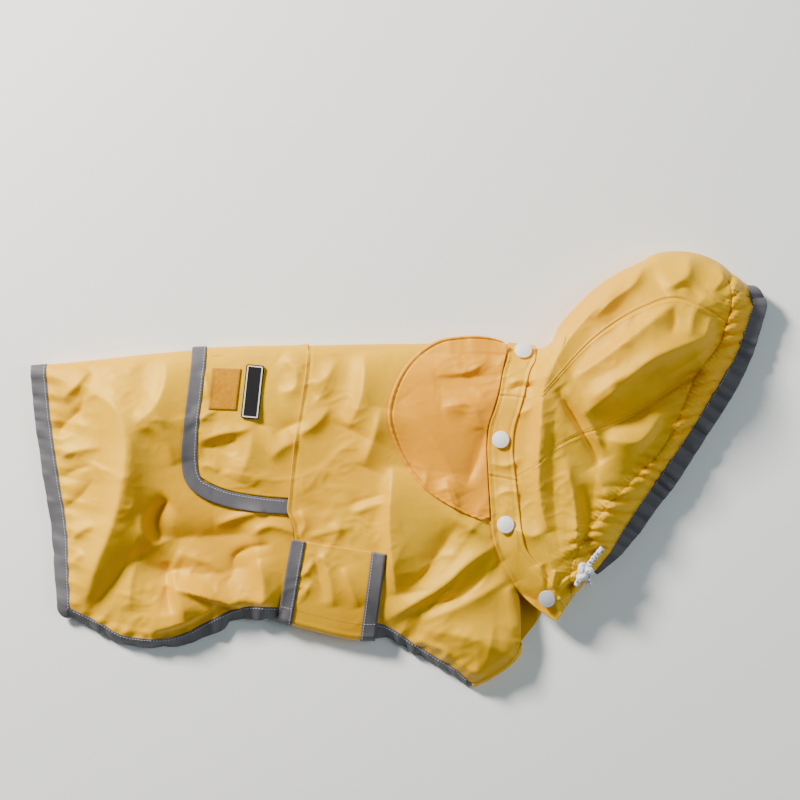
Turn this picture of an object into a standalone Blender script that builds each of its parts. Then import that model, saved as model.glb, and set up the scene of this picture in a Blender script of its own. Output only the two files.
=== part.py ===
"""Dog raincoat, lying flat on its left side, spine up the page, hood to the right.

+X runs from the rear hem to the hood's front, +Y from belly to back, +Z up.
Every table is in millimetres; the meshes are written in metres.
"""

import bpy
import bmesh
import numpy as np

MM = 0.001
SHIFT = (0.07, 0.42)      # puts the middle of the whole coat over the origin

WALL = 1.4             # cloth
TAPE = 2.0             # binding, folded over an edge
GAP = 0.35             # between pieces at a seam
OVER = 2.3             # mid-surface of a piece that lies on another, above it
FOLD = 8.0             # how far the rounded top fold reaches in from the outline
STRAP_FOLD = 6.0       # the same at the strap's turn under the belly
UNDER = 2.6            # lift of the lower layer where a piece passes beneath it
SNAP_R, SNAP_H = 6.9, 3.0
CORD_R = 2.5
PUCKERS = 34           # gathers along the hood's drawcord channel
PUCKER_H = 1.5

# The top fold of the body, along which the coat turns to its underside: x, y
TOP_FOLD = [(-296, 82.4), (-262, 85.2), (-234, 88.2), (-198, 92.2), (-162, 95.2),
            (-122, 96.6), (-84, 97.2), (-66, 99.0), (-6, 100.2), (58, 100.0), (90, 98.6),
            (104, 96.8), (120, 94.6)]

# The hood's ridge, along which it turns to its underside: x, y, inward direction in degrees
HOOD_FOLD = [(112, 94.4, 270), (117.8, 95.6, 285), (124.8, 101.1, 320), (130.6, 113.5, 330),
             (142.1, 126.9, 315), (159, 143.4, 312), (178.5, 156.4, 300), (195.3, 164.3, 296),
             (206.8, 170.6, 285), (217.1, 172.5, 272), (233.6, 172, 262), (244, 169.7, 250),
             (257.4, 163.1, 238), (269.2, 152.6, 232), (277.1, 146.2, 230)]

# Height of the upper layer's middle at each edge of the coat: name, height, points
EDGES = [
    ("top fold", 11.0, [(-283, 83), (-198, 92.8), (-122, 98.8), (20, 100.4), (90, 100), (112, 97)]),
    ("hood ridge", 14.0, [(122, 103), (140, 129), (177, 159), (206, 173.5), (234, 175),
                          (259, 165.6), (279, 148.5)]),
    ("rear hem", 11.0, [(-283, 83), (-280, 40), (-273, -5), (-267, -50), (-266, -110)]),
    ("flank hem", 10.0, [(-266, -112), (-238, -127), (-205, -141), (-180, -141), (-158, -128),
                         (-124, -113), (-96, -117)]),
    ("strap turn", 11.0, [(-96, -122), (-50, -134), (-17, -137)]),
    ("leg hem", 9.0, [(-10, -130), (23, -150), (64, -174)]),
    ("chest fold", 10.0, [(64, -174), (95, -154), (102, -140)]),
    ("neck edge", 14.0, [(102, -140), (99, -121), (96, -99), (110, -105), (126, -121)]),
    ("hood corner", 13.0, [(134, -110), (150, -90), (172, -68)]),
    ("hood front", 11.0, [(172, -68), (200, -19), (234, 30), (270, 90), (284, 130), (279, 148)]),
]

# Loft of the upper layer away from the edges: x, height, reach in from the edge
LOFTS = [(-300, 15, 50), (-200, 22, 60), (-80, 21, 55), (20, 24, 60), (80, 25, 50),
         (130, 38, 55), (200, 42, 60), (300, 30, 50)]

# Large folds of the upper layer: x0, y0, x1, y1, half width, height
FOLDS = [
    (-252, 68, -220, 40, 11, 4.0), (-220, 40, -218, 11, 11, 5.0), (-218, 11, -232, -41, 11, 5.5),
    (-232, -41, -250, -105, 11, 4.5), (-211, -15, -226, -50, 8, -4.5), (-226, -50, -249, -110, 8, -4.5),
    (-196, -28, -187, -44, 12, -6.5), (-193, -40, -182, -53, 7, -3.5), (-182, -53, -100, -57, 7, -3.5),
    (-168, -92, -169, -128, 9, 4.5), (-131, -70, -100, -60, 9, 3.5), (-120, -100, -175, -97, 10, 4.0),
    (-224, -100, -195, -118, 10, 3.5), (-186, 88, -183, 55, 9, -2.5), (-178, 10, -184, -20, 9, 3.0),
    (-36, 92, -46, 68, 12, 3.5), (-46, 68, -76, 32, 11, 3.5), (-26, 0, -10, 34, 10, -4.0),
    (-6, -17, -5, -90, 9, 4.5), (-33, -30, -8, -20, 7, -2.5), (-15, -125, 34, -97, 10, 4.5),
    (34, -97, 79, -68, 10, 5.0), (22, -120, 88, -90, 9, -4.5), (22, -124, 78, -150, 10, 3.0),
    (45, -40, 62, -75, 12, 3.5), (20, -60, 40, -100, 9, -3.0), (76, -100, 92, -125, 9, 3.0),
    (114, 60, 111, 10, 9, 9.0), (111, 10, 108, -28, 8, 8.0), (108, -28, 100, -44, 7, 5.0),
    (121, 85, 153, 134, 7, 5.0), (128, 100, 153, 128, 5, -3.5), (126, 63, 160, 5, 8, -6.0),
    (120, 12, 122, -60, 7, -4.0), (131, 5, 133, -62, 8, -3.5), (141, 0, 144, -60, 8, 4.0),
    (122, 66, 160, 97, 8, 4.5), (160, 97, 212, 127, 8, 4.5), (144, 43, 197, 86, 10, 6.0),
    (197, 86, 254, 108, 10, 5.0), (160, 34, 236, 74, 9, -6.0), (176, 96, 214, 122, 9, -3.0),
    (200, 60, 232, 60, 10, 3.5), (175, 0, 190, 25, 12, 3.5), (150, -60, 180, -20, 8, 3.0),
]


def through(rows, t):
    """Points at t (0 to 1 along the length) on a smooth curve through the rows."""
    p = np.array(rows, float)
    k = np.concatenate([[0], np.cumsum(np.linalg.norm(np.diff(p[:, :2], axis=0), axis=1))])
    k /= k[-1]
    m = np.gradient(p, k, axis=0)
    t = np.clip(np.asarray(t, float), 0, 1)
    i = np.clip(np.searchsorted(k, t, side="right") - 1, 0, len(k) - 2)
    h = (k[i + 1] - k[i])[..., None]
    f = ((t - k[i]) / (k[i + 1] - k[i]))[..., None]
    a, b = p[i], p[i + 1]
    lo, hi = np.minimum(a, b) - 2.0, np.maximum(a, b) + 2.0
    c = ((2 * f**3 - 3 * f**2 + 1) * a + (f**3 - 2 * f**2 + f) * h * m[i]
         + (3 * f**2 - 2 * f**3) * b + (f**3 - f**2) * h * m[i + 1])
    return np.clip(c, lo, hi)


def to_segment(x, y, x0, y0, x1, y1):
    dx, dy = x1 - x0, y1 - y0
    t = np.clip(((x - x0) * dx + (y - y0) * dy) / (dx * dx + dy * dy), 0, 1)
    return np.hypot(x - x0 - t * dx, y - y0 - t * dy)


def top_of(x):
    rows = np.array(TOP_FOLD)
    return np.interp(x, rows[:, 0], rows[:, 1])


def height(x, y):
    """Middle of the upper layer above the floor, at any place of the coat."""
    x, y = np.asarray(x, float), np.asarray(y, float)
    weight, level, near = 0, 0, np.full(np.broadcast(x, y).shape, 1e3)
    for _, h, pts in EDGES:
        d = np.full(near.shape, 1e3)
        for (x0, y0), (x1, y1) in zip(pts, pts[1:]):
            d = np.minimum(d, to_segment(x, y, x0, y0, x1, y1))
        w = 1 / (d + 2) ** 2
        weight, level, near = weight + w, level + w * h, np.minimum(near, d)
    level = level / weight
    table = np.array(LOFTS)
    loft, reach = np.interp(x, table[:, 0], table[:, 1]), np.interp(x, table[:, 0], table[:, 2])
    t = np.clip(near / reach, 0, 1)
    z = level + (loft - level) * (1 - (1 - t) ** 2)
    calm = np.clip(near / 14, 0, 1)
    for x0, y0, x1, y1, width, h in FOLDS:
        z = z + h * calm * np.exp(-(to_segment(x, y, x0, y0, x1, y1) / width) ** 2)
    return z


def lifted(x, s):
    """Lift of the lower layer above the pocket flap and the neck band that pass beneath it."""
    def inside(v, lo, hi):
        return np.clip((v - lo) / 9 + 1, 0, 1) * np.clip((hi - v) / 9 + 1, 0, 1)
    flap = inside(x, -176, -72) * inside(s, -60, 20)
    band = inside(x, 66, 125) * inside(s, -100, 20)
    return UNDER * np.maximum(flap, band)


def lay(x, s, over=0.0, half=WALL / 2):
    """Body cloth at distance s from the top fold: s > 0 on the upper layer, s < 0 below."""
    x, s = np.broadcast_arrays(np.asarray(x, float), np.asarray(s, float))
    top = top_of(x)
    low = np.maximum(WALL / 2 + lifted(x, np.minimum(s, -FOLD)) - over, half)
    high = height(x, top - FOLD) + over
    a = np.clip(s / FOLD, -1, 1) * np.pi / 2
    y = np.where(np.abs(s) >= FOLD, top - np.abs(s), top - FOLD * (1 - np.cos(a)) + over * np.cos(a))
    z = (high + low) / 2 + (high - low) / 2 * np.sin(a)
    z = np.where(s >= FOLD, height(x, top - s) + over, z)
    return np.stack([x, y, np.where(s <= -FOLD, low, z)], -1)


def lay_hood(ridge, s, over=OVER, half=WALL / 2):
    """Hood cloth near its ridge; ridge rows are x, y, inward angle."""
    x, y, turn = ridge[..., 0], ridge[..., 1], np.radians(ridge[..., 2])
    nx, ny = np.cos(turn), np.sin(turn)
    high = height(x + nx * FOLD, y + ny * FOLD) + over
    low = np.full(high.shape, half)
    a = np.clip(s / FOLD, -1, 1) * np.pi / 2
    d = FOLD * (1 - np.cos(a)) - over * np.cos(a)
    z = (high + low) / 2 + (high - low) / 2 * np.sin(a)
    return np.stack([x + nx * d, y + ny * d, z], -1)


def on_top(xy, over=0.0):
    return np.concatenate([xy, (height(xy[..., 0], xy[..., 1]) + over)[..., None]], -1)


def coons(left, right, bottom, top, u, v):
    """Plan point at u across and v up inside four curves; bottom and top run left to right."""
    def at(rows, t):
        return through(rows, t)[..., :2]
    b, t, l, r = at(bottom, u), at(top, u), at(left, v), at(right, v)
    u, v = u[..., None], v[..., None]
    c = [np.array(q[:2], float) for q in (bottom[0], bottom[-1], top[0], top[-1])]
    return ((1 - v) * b + v * t + (1 - u) * l + u * r
            - ((1 - u) * (1 - v) * c[0] + u * (1 - v) * c[1] + (1 - u) * v * c[2] + u * v * c[3]))


def material(name, color, roughness, metallic=0.0):
    m = bpy.data.materials.get(name) or bpy.data.materials.new(name)
    m.use_nodes = True
    s = m.node_tree.nodes["Principled BSDF"].inputs
    s["Base Color"].default_value = (*color, 1)
    s["Roughness"].default_value = roughness
    s["Metallic"].default_value = metallic
    return m


def add(name, obj_data, mat):
    o = bpy.data.objects.new(name, obj_data)
    o.data.materials.append(mat)
    coat.objects.link(o)
    return o


def sheet(name, us, vs, place, thick, mat):
    """A grid laid out by place(u, v) in millimetres, given its thickness."""
    us, vs = np.asarray(us, float), np.asarray(vs, float)
    bm = bmesh.new()
    bmesh.ops.create_grid(bm, x_segments=len(us) - 1, y_segments=len(vs) - 1, size=1)
    mesh = bpy.data.meshes.new(name)
    bm.to_mesh(mesh)
    bm.free()
    co = np.empty(len(mesh.vertices) * 3)
    mesh.vertices.foreach_get("co", co)
    co = co.reshape(-1, 3)
    i = np.rint((co[:, 0] + 1) / 2 * (len(us) - 1)).astype(int)
    j = np.rint((co[:, 1] + 1) / 2 * (len(vs) - 1)).astype(int)
    p = place(us[i], vs[j])
    p[:, 0] += SHIFT[0]
    p[:, 1] += SHIFT[1]
    mesh.vertices.foreach_set("co", (p * MM).ravel())
    mesh.update()
    o = add(name, mesh, mat)
    solid = o.modifiers.new("Thickness", "SOLIDIFY")
    solid.thickness = thick * MM
    solid.offset = 0
    return o


def tape(name, rows, place, step, thick, mat, across):
    """A binding: rows of inner x, y and outer x, y, and how far the outer edge drops."""
    rows = np.array(rows, float)
    mid = (rows[:, :2] + rows[:, 2:4]) / 2
    table = np.concatenate([mid, rows], 1)
    far = np.linalg.norm(np.diff(mid, axis=0), axis=1)
    at = np.concatenate([[0], np.cumsum(far)]) / far.sum()
    us = np.concatenate([np.linspace(a, b, max(1, int(round(d / step))) + 1)[:-1]
                         for a, b, d in zip(at, at[1:], far)] + [[1.0]])

    def lie(u, v):
        q = through(table, u)
        inner, outer, drop = q[:, 2:4], q[:, 4:6], q[:, 6]
        p = place(inner + (outer - inner) * v[:, None])
        p[:, 2] -= drop * v
        return p
    sheet(name, us, np.linspace(0, 1, across + 1), lie, thick, mat)


def edging(name, ts, rim, widths):
    """A binding along a panel's edge. rim(t) gives points of the edge and points just inside it.
    widths: t, width, drop of the outer side, gap to the panel."""
    table = np.array(widths, float)

    def lie(t, w):
        p, q = rim(t)
        d = p - q
        d /= np.linalg.norm(d, axis=1)[:, None]
        wide, drop, gap = (np.interp(t, table[:, 0], table[:, k]) for k in (1, 2, 3))
        p = p + d * (gap + wide * w)[:, None]
        p[:, 2] = np.maximum(p[:, 2] - drop * w, TAPE / 2)
        return p
    sheet(name, ts, np.linspace(0, 1, 3), lie, TAPE, grey)


for old in list(bpy.data.objects):
    bpy.data.objects.remove(old, do_unlink=True)
coat = bpy.data.collections.new("dog_raincoat")
bpy.context.scene.collection.children.link(coat)

yellow = material("yellow_nylon", (0.87, 0.50, 0.04), 0.45)
orange = material("orange_nylon", (0.90, 0.45, 0.05), 0.45)
grey = material("grey_binding", (0.15, 0.145, 0.17), 0.5)
velcro = material("velcro_orange", (0.72, 0.36, 0.03), 0.9)
black = material("label_rubber", (0.012, 0.010, 0.014), 0.6)
white = material("snap_enamel", (0.92, 0.91, 0.92), 0.25)
rope = material("cord_white", (0.75, 0.73, 0.78), 0.85)

# Body: the hem, seam and neck lines, bottom to top on the upper layer.
REAR = [(-264, -112), (-264.8, -88.8), (-266.4, -49.6), (-273.6, -4.8), (-280, 40), (-283.6, 75)]
SADDLE = [(-79.2, -115), (-81.6, -60.8), (-84, -43.2), (-88, -33.6), (-87.2, -22.4), (-84, 8.8),
          (-81.6, 28), (-77.6, 52), (-73.6, 79.2), (-72.8, 92)]
NECK = [(98.2, -139), (98, -121.6), (96, -99.2), (91.5, -88), (85, -62), (81, -28), (79.5, 0),
        (80, 25), (85, 45), (91, 70), (97, 91.4)]
FLANK = [(-264, -112), (-238.4, -124.8), (-222.4, -134), (-204, -137), (-180.8, -136), (-166.4, -131),
         (-157.6, -126.4), (-140, -117.6), (-124, -111.5), (-95.2, -112), (-79.2, -115)]
LEG = [(-79.2, -115), (-42, -122), (-8, -127.2), (10.4, -139.2), (23.2, -147.2), (45.6, -160.8),
       (59, -169.2), (73, -163.0), (89.2, -150.9), (98.2, -139)]
SEAM_RISE = 2.2
COLUMNS = np.linspace(0, 1, 20)
NEAR_ROWS, FAR_ROWS = 23, 9
# The lower layer's ends, under the upper layer: x, y
FAR_REAR = [(-266, -86), (-204, -88), (-134, -46), (-97, -26), (-80, -17)]
FAR_FRONT = [(-80, -17), (-42, -6), (-8, 5.6), (26, -7), (50, -27), (61, -56), (68, -76),
             (90, -80), (111, -80)]


def body_panel(name, left, right, bottom, far, us, near_rows, far_rows, mat, rise=None, over=0.0):
    """Upper layer inside four curves, round the top fold, and back along the floor."""
    top = [(x, top_of(x) - FOLD) for x in np.linspace(left[-1][0], right[-1][0], 6)]
    rows = np.concatenate([np.linspace(0, 1, near_rows), 1 + np.linspace(0, 1, 7)[1:],
                           2 + np.linspace(0, 1, far_rows)[1:]])

    def place(u, v):
        near = coons(left, right, bottom, top, u, np.minimum(v, 1))
        start = through(top, u)[:, 0]
        p = on_top(near, over)
        turn = lay(start, FOLD - (np.clip(v, 1, 2) - 1) * 2 * FOLD, over)
        if rise is not None:
            p[:, 2] += rise(near[:, 1], u)
            turn[:, 2] += rise(turn[:, 1], u) * (2 - np.clip(v, 1, 2))
        end = through(far, u)[:, :2]
        f = np.clip(v - 2, 0, 1)
        x = start + (end[:, 0] - start) * f
        y = (top_of(start) - FOLD) + (end[:, 1] - (top_of(start) - FOLD)) * f
        low = lay(x, -np.maximum(top_of(x) - y, FOLD), over)
        low[:, 1] = y
        return np.where(v[:, None] <= 1, p, np.where(v[:, None] <= 2, turn, low))
    sheet(name, us, rows, place, WALL, mat)
    return place


rear = body_panel("body_rear", REAR, [(x - GAP / 2, y) for x, y in SADDLE], FLANK,
                  FAR_REAR[:-1] + [(-80 - GAP, -17)], COLUMNS, NEAR_ROWS, FAR_ROWS, yellow)


def front_rise(y, u):
    """The shoulder panel's seam edge lies up on the pocket flap's end."""
    return SEAM_RISE * np.exp(-(u * 180 / 9) ** 2) * np.clip((y + 50) / 12, 0, 1)


front = body_panel("body_front", [(x + GAP / 2, y) for x, y in SADDLE], NECK, LEG,
                   [(-80 + GAP, -17)] + FAR_FRONT[1:], COLUMNS, NEAR_ROWS + 1, FAR_ROWS + 1, yellow,
                   front_rise)

# Chest piece: turns from the upper layer round the chest fold to the floor. Fold: x, y, inward direction
CHEST_FOLD = [(60.8, -176.0, 112), (76, -168, 124), (93, -155.5, 132), (103.2, -142.5, 150)]
CHEST_SEAM = [(69.5, -78.6), (80, -81.4), (95, -81.6), (111, -81.2)]
CHEST_SIDE = [(66, -160), (66.4, -120), (66.4, -100), (69.5, -78.6)]
CHEST_NECK = [(107.5, -136), (114.4, -117.6), (117, -106), (111, -81.2)]
CHEST_TURN = 5.0


def in_plan(rows, fold):
    """Where a fold's turn ends on the layer: rows of x, y, inward direction."""
    return [(x + fold * np.cos(np.radians(a)), y + fold * np.sin(np.radians(a))) for x, y, a in rows]


def chest_place(u, v):
    row = through(CHEST_FOLD, u)
    turn = np.radians(row[:, 2])
    n = np.stack([np.cos(turn), np.sin(turn)], -1)
    edge = row[:, :2] + n * (CHEST_TURN + GAP * 1.6)
    high = height(edge[:, 0], edge[:, 1])
    low = np.full(high.shape, WALL / 2)
    a = (0.5 - np.clip(v, 0, 1)) * np.pi
    q = row[:, :2] + n * (CHEST_TURN * (1 - np.cos(a)))[:, None]
    bend = np.concatenate([q, ((high + low) / 2 + (high - low) / 2 * np.sin(a))[:, None]], 1)
    f = np.clip(v - 1, 0, 1)
    start = in_plan(CHEST_FOLD, CHEST_TURN)
    flat = coons([start[0]] + CHEST_SIDE[1:], [start[-1]] + CHEST_NECK[1:], start, CHEST_SEAM, u, f)
    flat = np.concatenate([flat, low[:, None]], 1)
    return np.where(v[:, None] <= 1, bend, flat)


sheet("chest", np.linspace(0, 1, 9), np.concatenate([np.linspace(0, 1, 7), 1 + np.linspace(0, 1, 10)[1:]]),
      chest_place, WALL, yellow)


def on_body(over):
    def place(xs):
        return lay(xs[:, 0], xs[:, 1], over, TAPE / 2)
    return place


# Bindings of the hems, each along its panel's own edge.
def share(rows, x):
    """How far along a curve it reaches x."""
    t = np.linspace(0, 1, 400)
    return float(np.interp(x, through(rows, t)[:, 0], t))


def corner(p, a, b, f):
    """Directions turning from a to b as f goes from 0 to 1, as points just inside p."""
    a, b = (k / (np.linalg.norm(k, axis=1)[:, None] + 1e-9) for k in (a, b))
    return p - (a + (b - a) * f[:, None])


def rear_rim(t):
    """t -1 to 0 turns the near corner, 0 to 3 follows the panel's edge, 3 to 4 turns the far corner."""
    v, zero = np.clip(t, 0, 3), np.zeros(len(t))
    p, q = rear(zero, v), rear(zero + 0.03, v)
    side = p - q
    low = np.where(t[:, None] < 0, p - rear(zero, zero + 0.04), np.array([0, -1.0, 0]))
    f = np.where(t < 0, -t, np.clip(t - 3, 0, 1))
    return p, corner(p, side, low, f)


PANEL_ROWS = np.concatenate([np.linspace(0, 1, NEAR_ROWS), 1 + np.linspace(0, 1, 7)[1:],
                             2 + np.linspace(0, 1, FAR_ROWS)[1:]])
edging("rear_hem_binding", np.concatenate([[-1, -0.75, -0.5, -0.25], PANEL_ROWS, [3.33, 3.67, 4]]), rear_rim,
       [(-1, 7.4, 4, 0.5), (0, 10, 2, 0.5), (0.25, 11, 1, 0.5), (0.5, 10.6, 1, 0.5), (0.75, 11.2, 1, 0.5),
        (0.95, 11, 1, 0.5), (1, 11, 0, 0.5), (4, 11, 0, 0.5)])


def between(start, end):
    """The panel's columns from start to end, so that a binding follows its panel's facets."""
    inner = COLUMNS[(COLUMNS > start + 0.02) & (COLUMNS < end - 0.02)]
    return np.concatenate([[start], inner, [end]])


def flank_rim(t):
    return rear(t, 0 * t), rear(t, 0 * t + 0.04)


def far_flank_rim(t):
    return rear(t, 0 * t + 3), rear(t, 0 * t + 2.95)


def near_leg_rim(t):
    return front(t, 0 * t), front(t, 0 * t + 0.03)


edging("flank_binding_near", between(0.006, share(FLANK, -99)), flank_rim,
       [(0, 7.4, 4, 0.6), (0.12, 7.2, 7, 0.9), (0.3, 6.6, 8, 0.9), (0.42, 8, 7, 0.8), (0.55, 11.5, 3, 0.6),
        (0.7, 12, 1, 0.6), (0.85, 12.5, 1, 0.6), (0.92, 9.5, 3, 0.6)])
edging("flank_binding_far", between(0, share(FAR_REAR, -98)), far_flank_rim,
       [(0, 11, 0, 0.5), (1, 11, 0, 0.5)])
edging("leg_binding_near", between(share(LEG, -12), share(LEG, 55.5)), near_leg_rim,
       [(0.25, 9.8, 4, 0.6), (0.45, 8.2, 6, 0.7), (0.55, 8.4, 4.5, 0.7), (0.7, 7.4, 4.5, 0.7)])
back_start, back_end = share(FAR_FRONT, -9), share(FAR_FRONT, 67)


def leg_rim(t):
    """t 0 to 1 along the front panel's far edge, 1 to 2 along the side of the chest piece."""
    u = back_start + (back_end - back_start) * np.clip(t, 0, 1)
    v = 2 - 0.93 * np.clip(t - 1, 0, 1)
    first = (front(u, 0 * u + 3), front(u, 0 * u + 2.93))
    zero = np.zeros(len(t))
    second = (chest_place(zero, v), chest_place(zero + 0.08, v))
    f = np.clip((t - 0.93) / 0.14, 0, 1)[:, None]
    return tuple(a + (b - a) * f for a, b in zip(first, second))


along_panel = (between(back_start, back_end) - back_start) / (back_end - back_start)
along_panel = along_panel[along_panel < 0.9]
edging("leg_binding_far", np.concatenate([along_panel, [0.93, 1.07], np.linspace(1.15, 2, 8)]), leg_rim,
       [(0, 11, 0, 0.6), (0.7, 11, 0, 0.8), (0.85, 9, 0, 1.2), (0.93, 3, 0, 2.0), (1.07, 3, 0, 2.0),
        (1.15, 8, 0, 1.2), (1.3, 11, 0, 0.9), (2, 10, 0, 0.9)])

# Where the top fold's turn is cut, from the upper layer to the lower one
ROUND_FOLD = [8, 5.33, 2.67, 0, -2.67, -5.33, -8]

# Pocket flap: over the back from the flank, round the top fold; its far half lies under the coat.
FLAP_LEFT = [(-161.2, 10.4), (-160, 32), (-156.2, 67), (-154.2, 90)]
FLAP_RIGHT = [(-88.4, -23.2), (-87.9, -18), (-84.7, 8.8), (-82.2, 28), (-78.2, 52), (-74.2, 79.2),
              (-73.5, 92)]
FLAP_NEAR = [(-161.2, 10.4), (-160.6, 1), (-158, -4.9), (-152.8, -8.8), (-136.8, -16), (-112.8, -20.8),
             (-88.4, -23.2)]
FLAP_FAR = [(-152, 54), (-149.6, 50), (-143, 50.5), (-113, 64), (-76, 81)]
body_panel("pocket_flap", FLAP_LEFT, FLAP_RIGHT, FLAP_NEAR, FLAP_FAR, np.linspace(0, 1, 10), 12, 4, yellow,
           None, OVER)
# Rows: inner x, inner distance from the top fold, the same of the outer side, drop of the outer side
tape("pocket_flap_binding", [
    (-89.2, 123.8, -89.4, 133.4, 0), (-112.8, 120.7, -114.5, 130.8, 0), (-136.8, 115.2, -139.5, 125.2, 0),
    (-150, 109.4, -156, 118, 0), (-156, 105.8, -165.6, 110.4, 0), (-160.4, 100, -170.2, 102, 0),
    (-162.0, 90, -172, 90, 0), (-161.2, 65, -170.6, 65, 0), (-156.9, 30, -166.8, 30, 0)]
    + [(-154.9, s, -165, s, 0) for s in ROUND_FOLD] + [
    (-154.2, -25, -164, -25, 0), (-153.2, -41.6, -162.8, -44, 0), (-150.6, -48.6, -157, -55, 0),
    (-143, -48.6, -143, -58.2, 0), (-113, -36.6, -110, -46, 0), (-78, -20.6, -76.4, -29.8, 0)],
    on_body(OVER + 0.4), 11, TAPE, grey, 2)


def patch(name, corners, over, thick, mat, nu, nv):
    (ax, ay), (bx, by), (cx, cy), (dx, dy) = corners

    def place(u, v):
        x = (1 - v) * (ax + (bx - ax) * u) + v * (dx + (cx - dx) * u)
        y = (1 - v) * (ay + (by - ay) * u) + v * (dy + (cy - dy) * u)
        return on_top(np.stack([x, y], -1), over)
    sheet(name, np.linspace(0, 1, nu + 1), np.linspace(0, 1, nv + 1), place, thick, mat)


patch("velcro_patch", [(-148.3, 80.8), (-125.1, 80.0), (-128.8, 47.2), (-150.8, 48.0)], OVER + 1.9, 1.2,
      velcro, 3, 4)
patch("label", [(-120.5, 84.0), (-106.6, 82.2), (-111.0, 39.9), (-124.7, 41.1)], OVER + 2.3, 2.0, black, 2, 5)

# Leash flap: straight side along the neck band, round side on the back.
LEASH_SIDE = [(86.8, 99), (82.6, 79.2), (79.0, 60.4), (74.0, 44), (71.0, 34), (69.6, 21.6), (70.4, -3.2),
              (71.8, -38)]
LEASH_ROUND = [(82, 102.8), (75.2, 104.8), (58.4, 106.4), (46.4, 105.6), (32.8, 103.2), (20.8, 96.8),
               (7.2, 84), (-2.8, 66.4), (-8, 40.8), (-4, 24.8), (2.4, 10.4), (12, -4.8), (26.4, -19.2),
               (41.6, -28.8), (56, -36), (67, -40.2)]


def leash_place(u, v):
    a, b = through(LEASH_SIDE, u)[:, :2], through(LEASH_ROUND, u)[:, :2]
    p = a + (b - a) * v[:, None]
    z = height(p[:, 0], np.minimum(p[:, 1], top_of(p[:, 0]) - FOLD)) + OVER
    return np.concatenate([p, z[:, None]], 1)


sheet("leash_flap", np.linspace(0, 1, 19), np.linspace(0, 1, 8), leash_place, WALL, orange)

# Neck band, from the throat up and round to the underside. Rows: left x, its distance from the top
# fold, right x, its distance, drop
BAND = [(126.4, 216.0, 134.0, 204.5, 0), (117.6, 210.8, 126.6, 192.0, 0), (106.4, 203.7, 118.0, 179.0, 0),
        (95.2, 193.9, 110.6, 171.0, 0), (88.8, 183.2, 105.0, 165.0, 0), (81.6, 170.4, 100.9, 158.5, 0),
        (76.5, 157.0, 98.4, 149.0, 0), (73.6, 128, 96.0, 130, 0), (72.0, 103.2, 93.3, 106, 0),
        (71.2, 78.4, 91.0, 80, 0), (73.0, 63.5, 92.6, 64, 0), (77.0, 52.0, 95.8, 53, 0),
        (80.5, 39.6, 99.6, 39.6, 0), (84, 20.8, 104.8, 18, 0),
        (87.8, 8, 109.5, 8, 0), (88.1, 5.33, 109.8, 5.33, 0), (88.3, 2.67, 110.0, 2.67, 0),
        (88.4, 0, 110.1, 0, 0), (88.3, -2.67, 110.1, -2.67, 0), (88.1, -5.33, 110.0, -5.33, 0),
        (87.8, -8, 109.8, -8, 0), (86, -50, 107.4, -50, 0), (84, -92, 105.2, -92, 0)]
BAND_OVER = OVER + 0.8


def band_place(xs):
    return lay(xs[:, 0], xs[:, 1], BAND_OVER, WALL / 2)


tape("neck_band", BAND, band_place, 7, WALL, yellow, 4)

# Belly strap: near end on the flank, turned under the belly, joined to the far flank.
STRAP_END = [(-84.8, -56), (-9.6, -67.2)]
STRAP_TURN = [(-96.8, -122.4), (-85.6, -125.6), (-65.6, -130.8), (-50.4, -134.6), (-36.8, -137.2),
              (-18.4, -137.6)]
STRAP_ROOT = [(-92, -25.2), (-80, -18.4), (-42, -7.4), (-14, 2.2)]


def strap_at(half):
    over = OVER + (half - WALL / 2) * 1.6

    def place(cr):
        """cr: share across the strap, and length from the turn, minus on the far side."""
        c, r = cr[:, 0], cr[:, 1]
        turn, end, root = (through(k, c)[:, :2] for k in (STRAP_TURN, STRAP_END, STRAP_ROOT))
        near = (end - turn) / np.linalg.norm(end - turn, axis=1)[:, None]
        far = (root - turn) / np.linalg.norm(root - turn, axis=1)[:, None]
        rim = turn + near * STRAP_FOLD
        high = height(rim[:, 0], rim[:, 1]) + over
        a = np.clip(r / STRAP_FOLD, -1, 1) * np.pi / 2
        q = turn + np.where(r[:, None] >= 0, near, far) * np.where(
            np.abs(r) >= STRAP_FOLD, np.abs(r), STRAP_FOLD * (1 - np.cos(a)))[:, None]
        z = (high + half) / 2 + (high - half) / 2 * np.sin(a)
        z = np.where(r > STRAP_FOLD, height(q[:, 0], q[:, 1]) + over, z)
        return np.concatenate([q, z[:, None]], 1)
    return place


def strap_length(c, r):
    """Length from the turn. r: 0 to 1 round the turn, 1 to 2 up the near side, and minus on the far side."""
    turn, end, root = (through(k, c)[:, :2] for k in (STRAP_TURN, STRAP_END, STRAP_ROOT))
    near, far = np.linalg.norm(end - turn, axis=1), np.linalg.norm(root - turn, axis=1)
    return np.where(r >= 0, STRAP_FOLD * np.clip(r, 0, 1) + (near - STRAP_FOLD) * np.clip(r - 1, 0, 1),
                    -STRAP_FOLD * np.clip(-r, 0, 1) - (far - STRAP_FOLD) * np.clip(-r - 1, 0, 1))


STRAP_ROWS = np.concatenate([np.linspace(2, 1, 8), np.linspace(1, -1, 9)[1:], np.linspace(-1, -2, 9)[1:]])
for piece, c0, c1, thick, n, mat in [("strap_binding_rear", 0.0, 0.147, TAPE, 2, grey),
                                     ("strap", 0.155, 0.845, WALL, 8, yellow),
                                     ("strap_binding_front", 0.853, 1.0, TAPE, 2, grey)]:
    def strap_place(u, v, c0=c0, c1=c1, thick=thick):
        c = c0 + (c1 - c0) * u
        return strap_at(thick / 2)(np.stack([c, strap_length(c, v)], -1))
    sheet(piece, np.linspace(0, 1, n + 1), STRAP_ROWS, strap_place, thick, mat)

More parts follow.
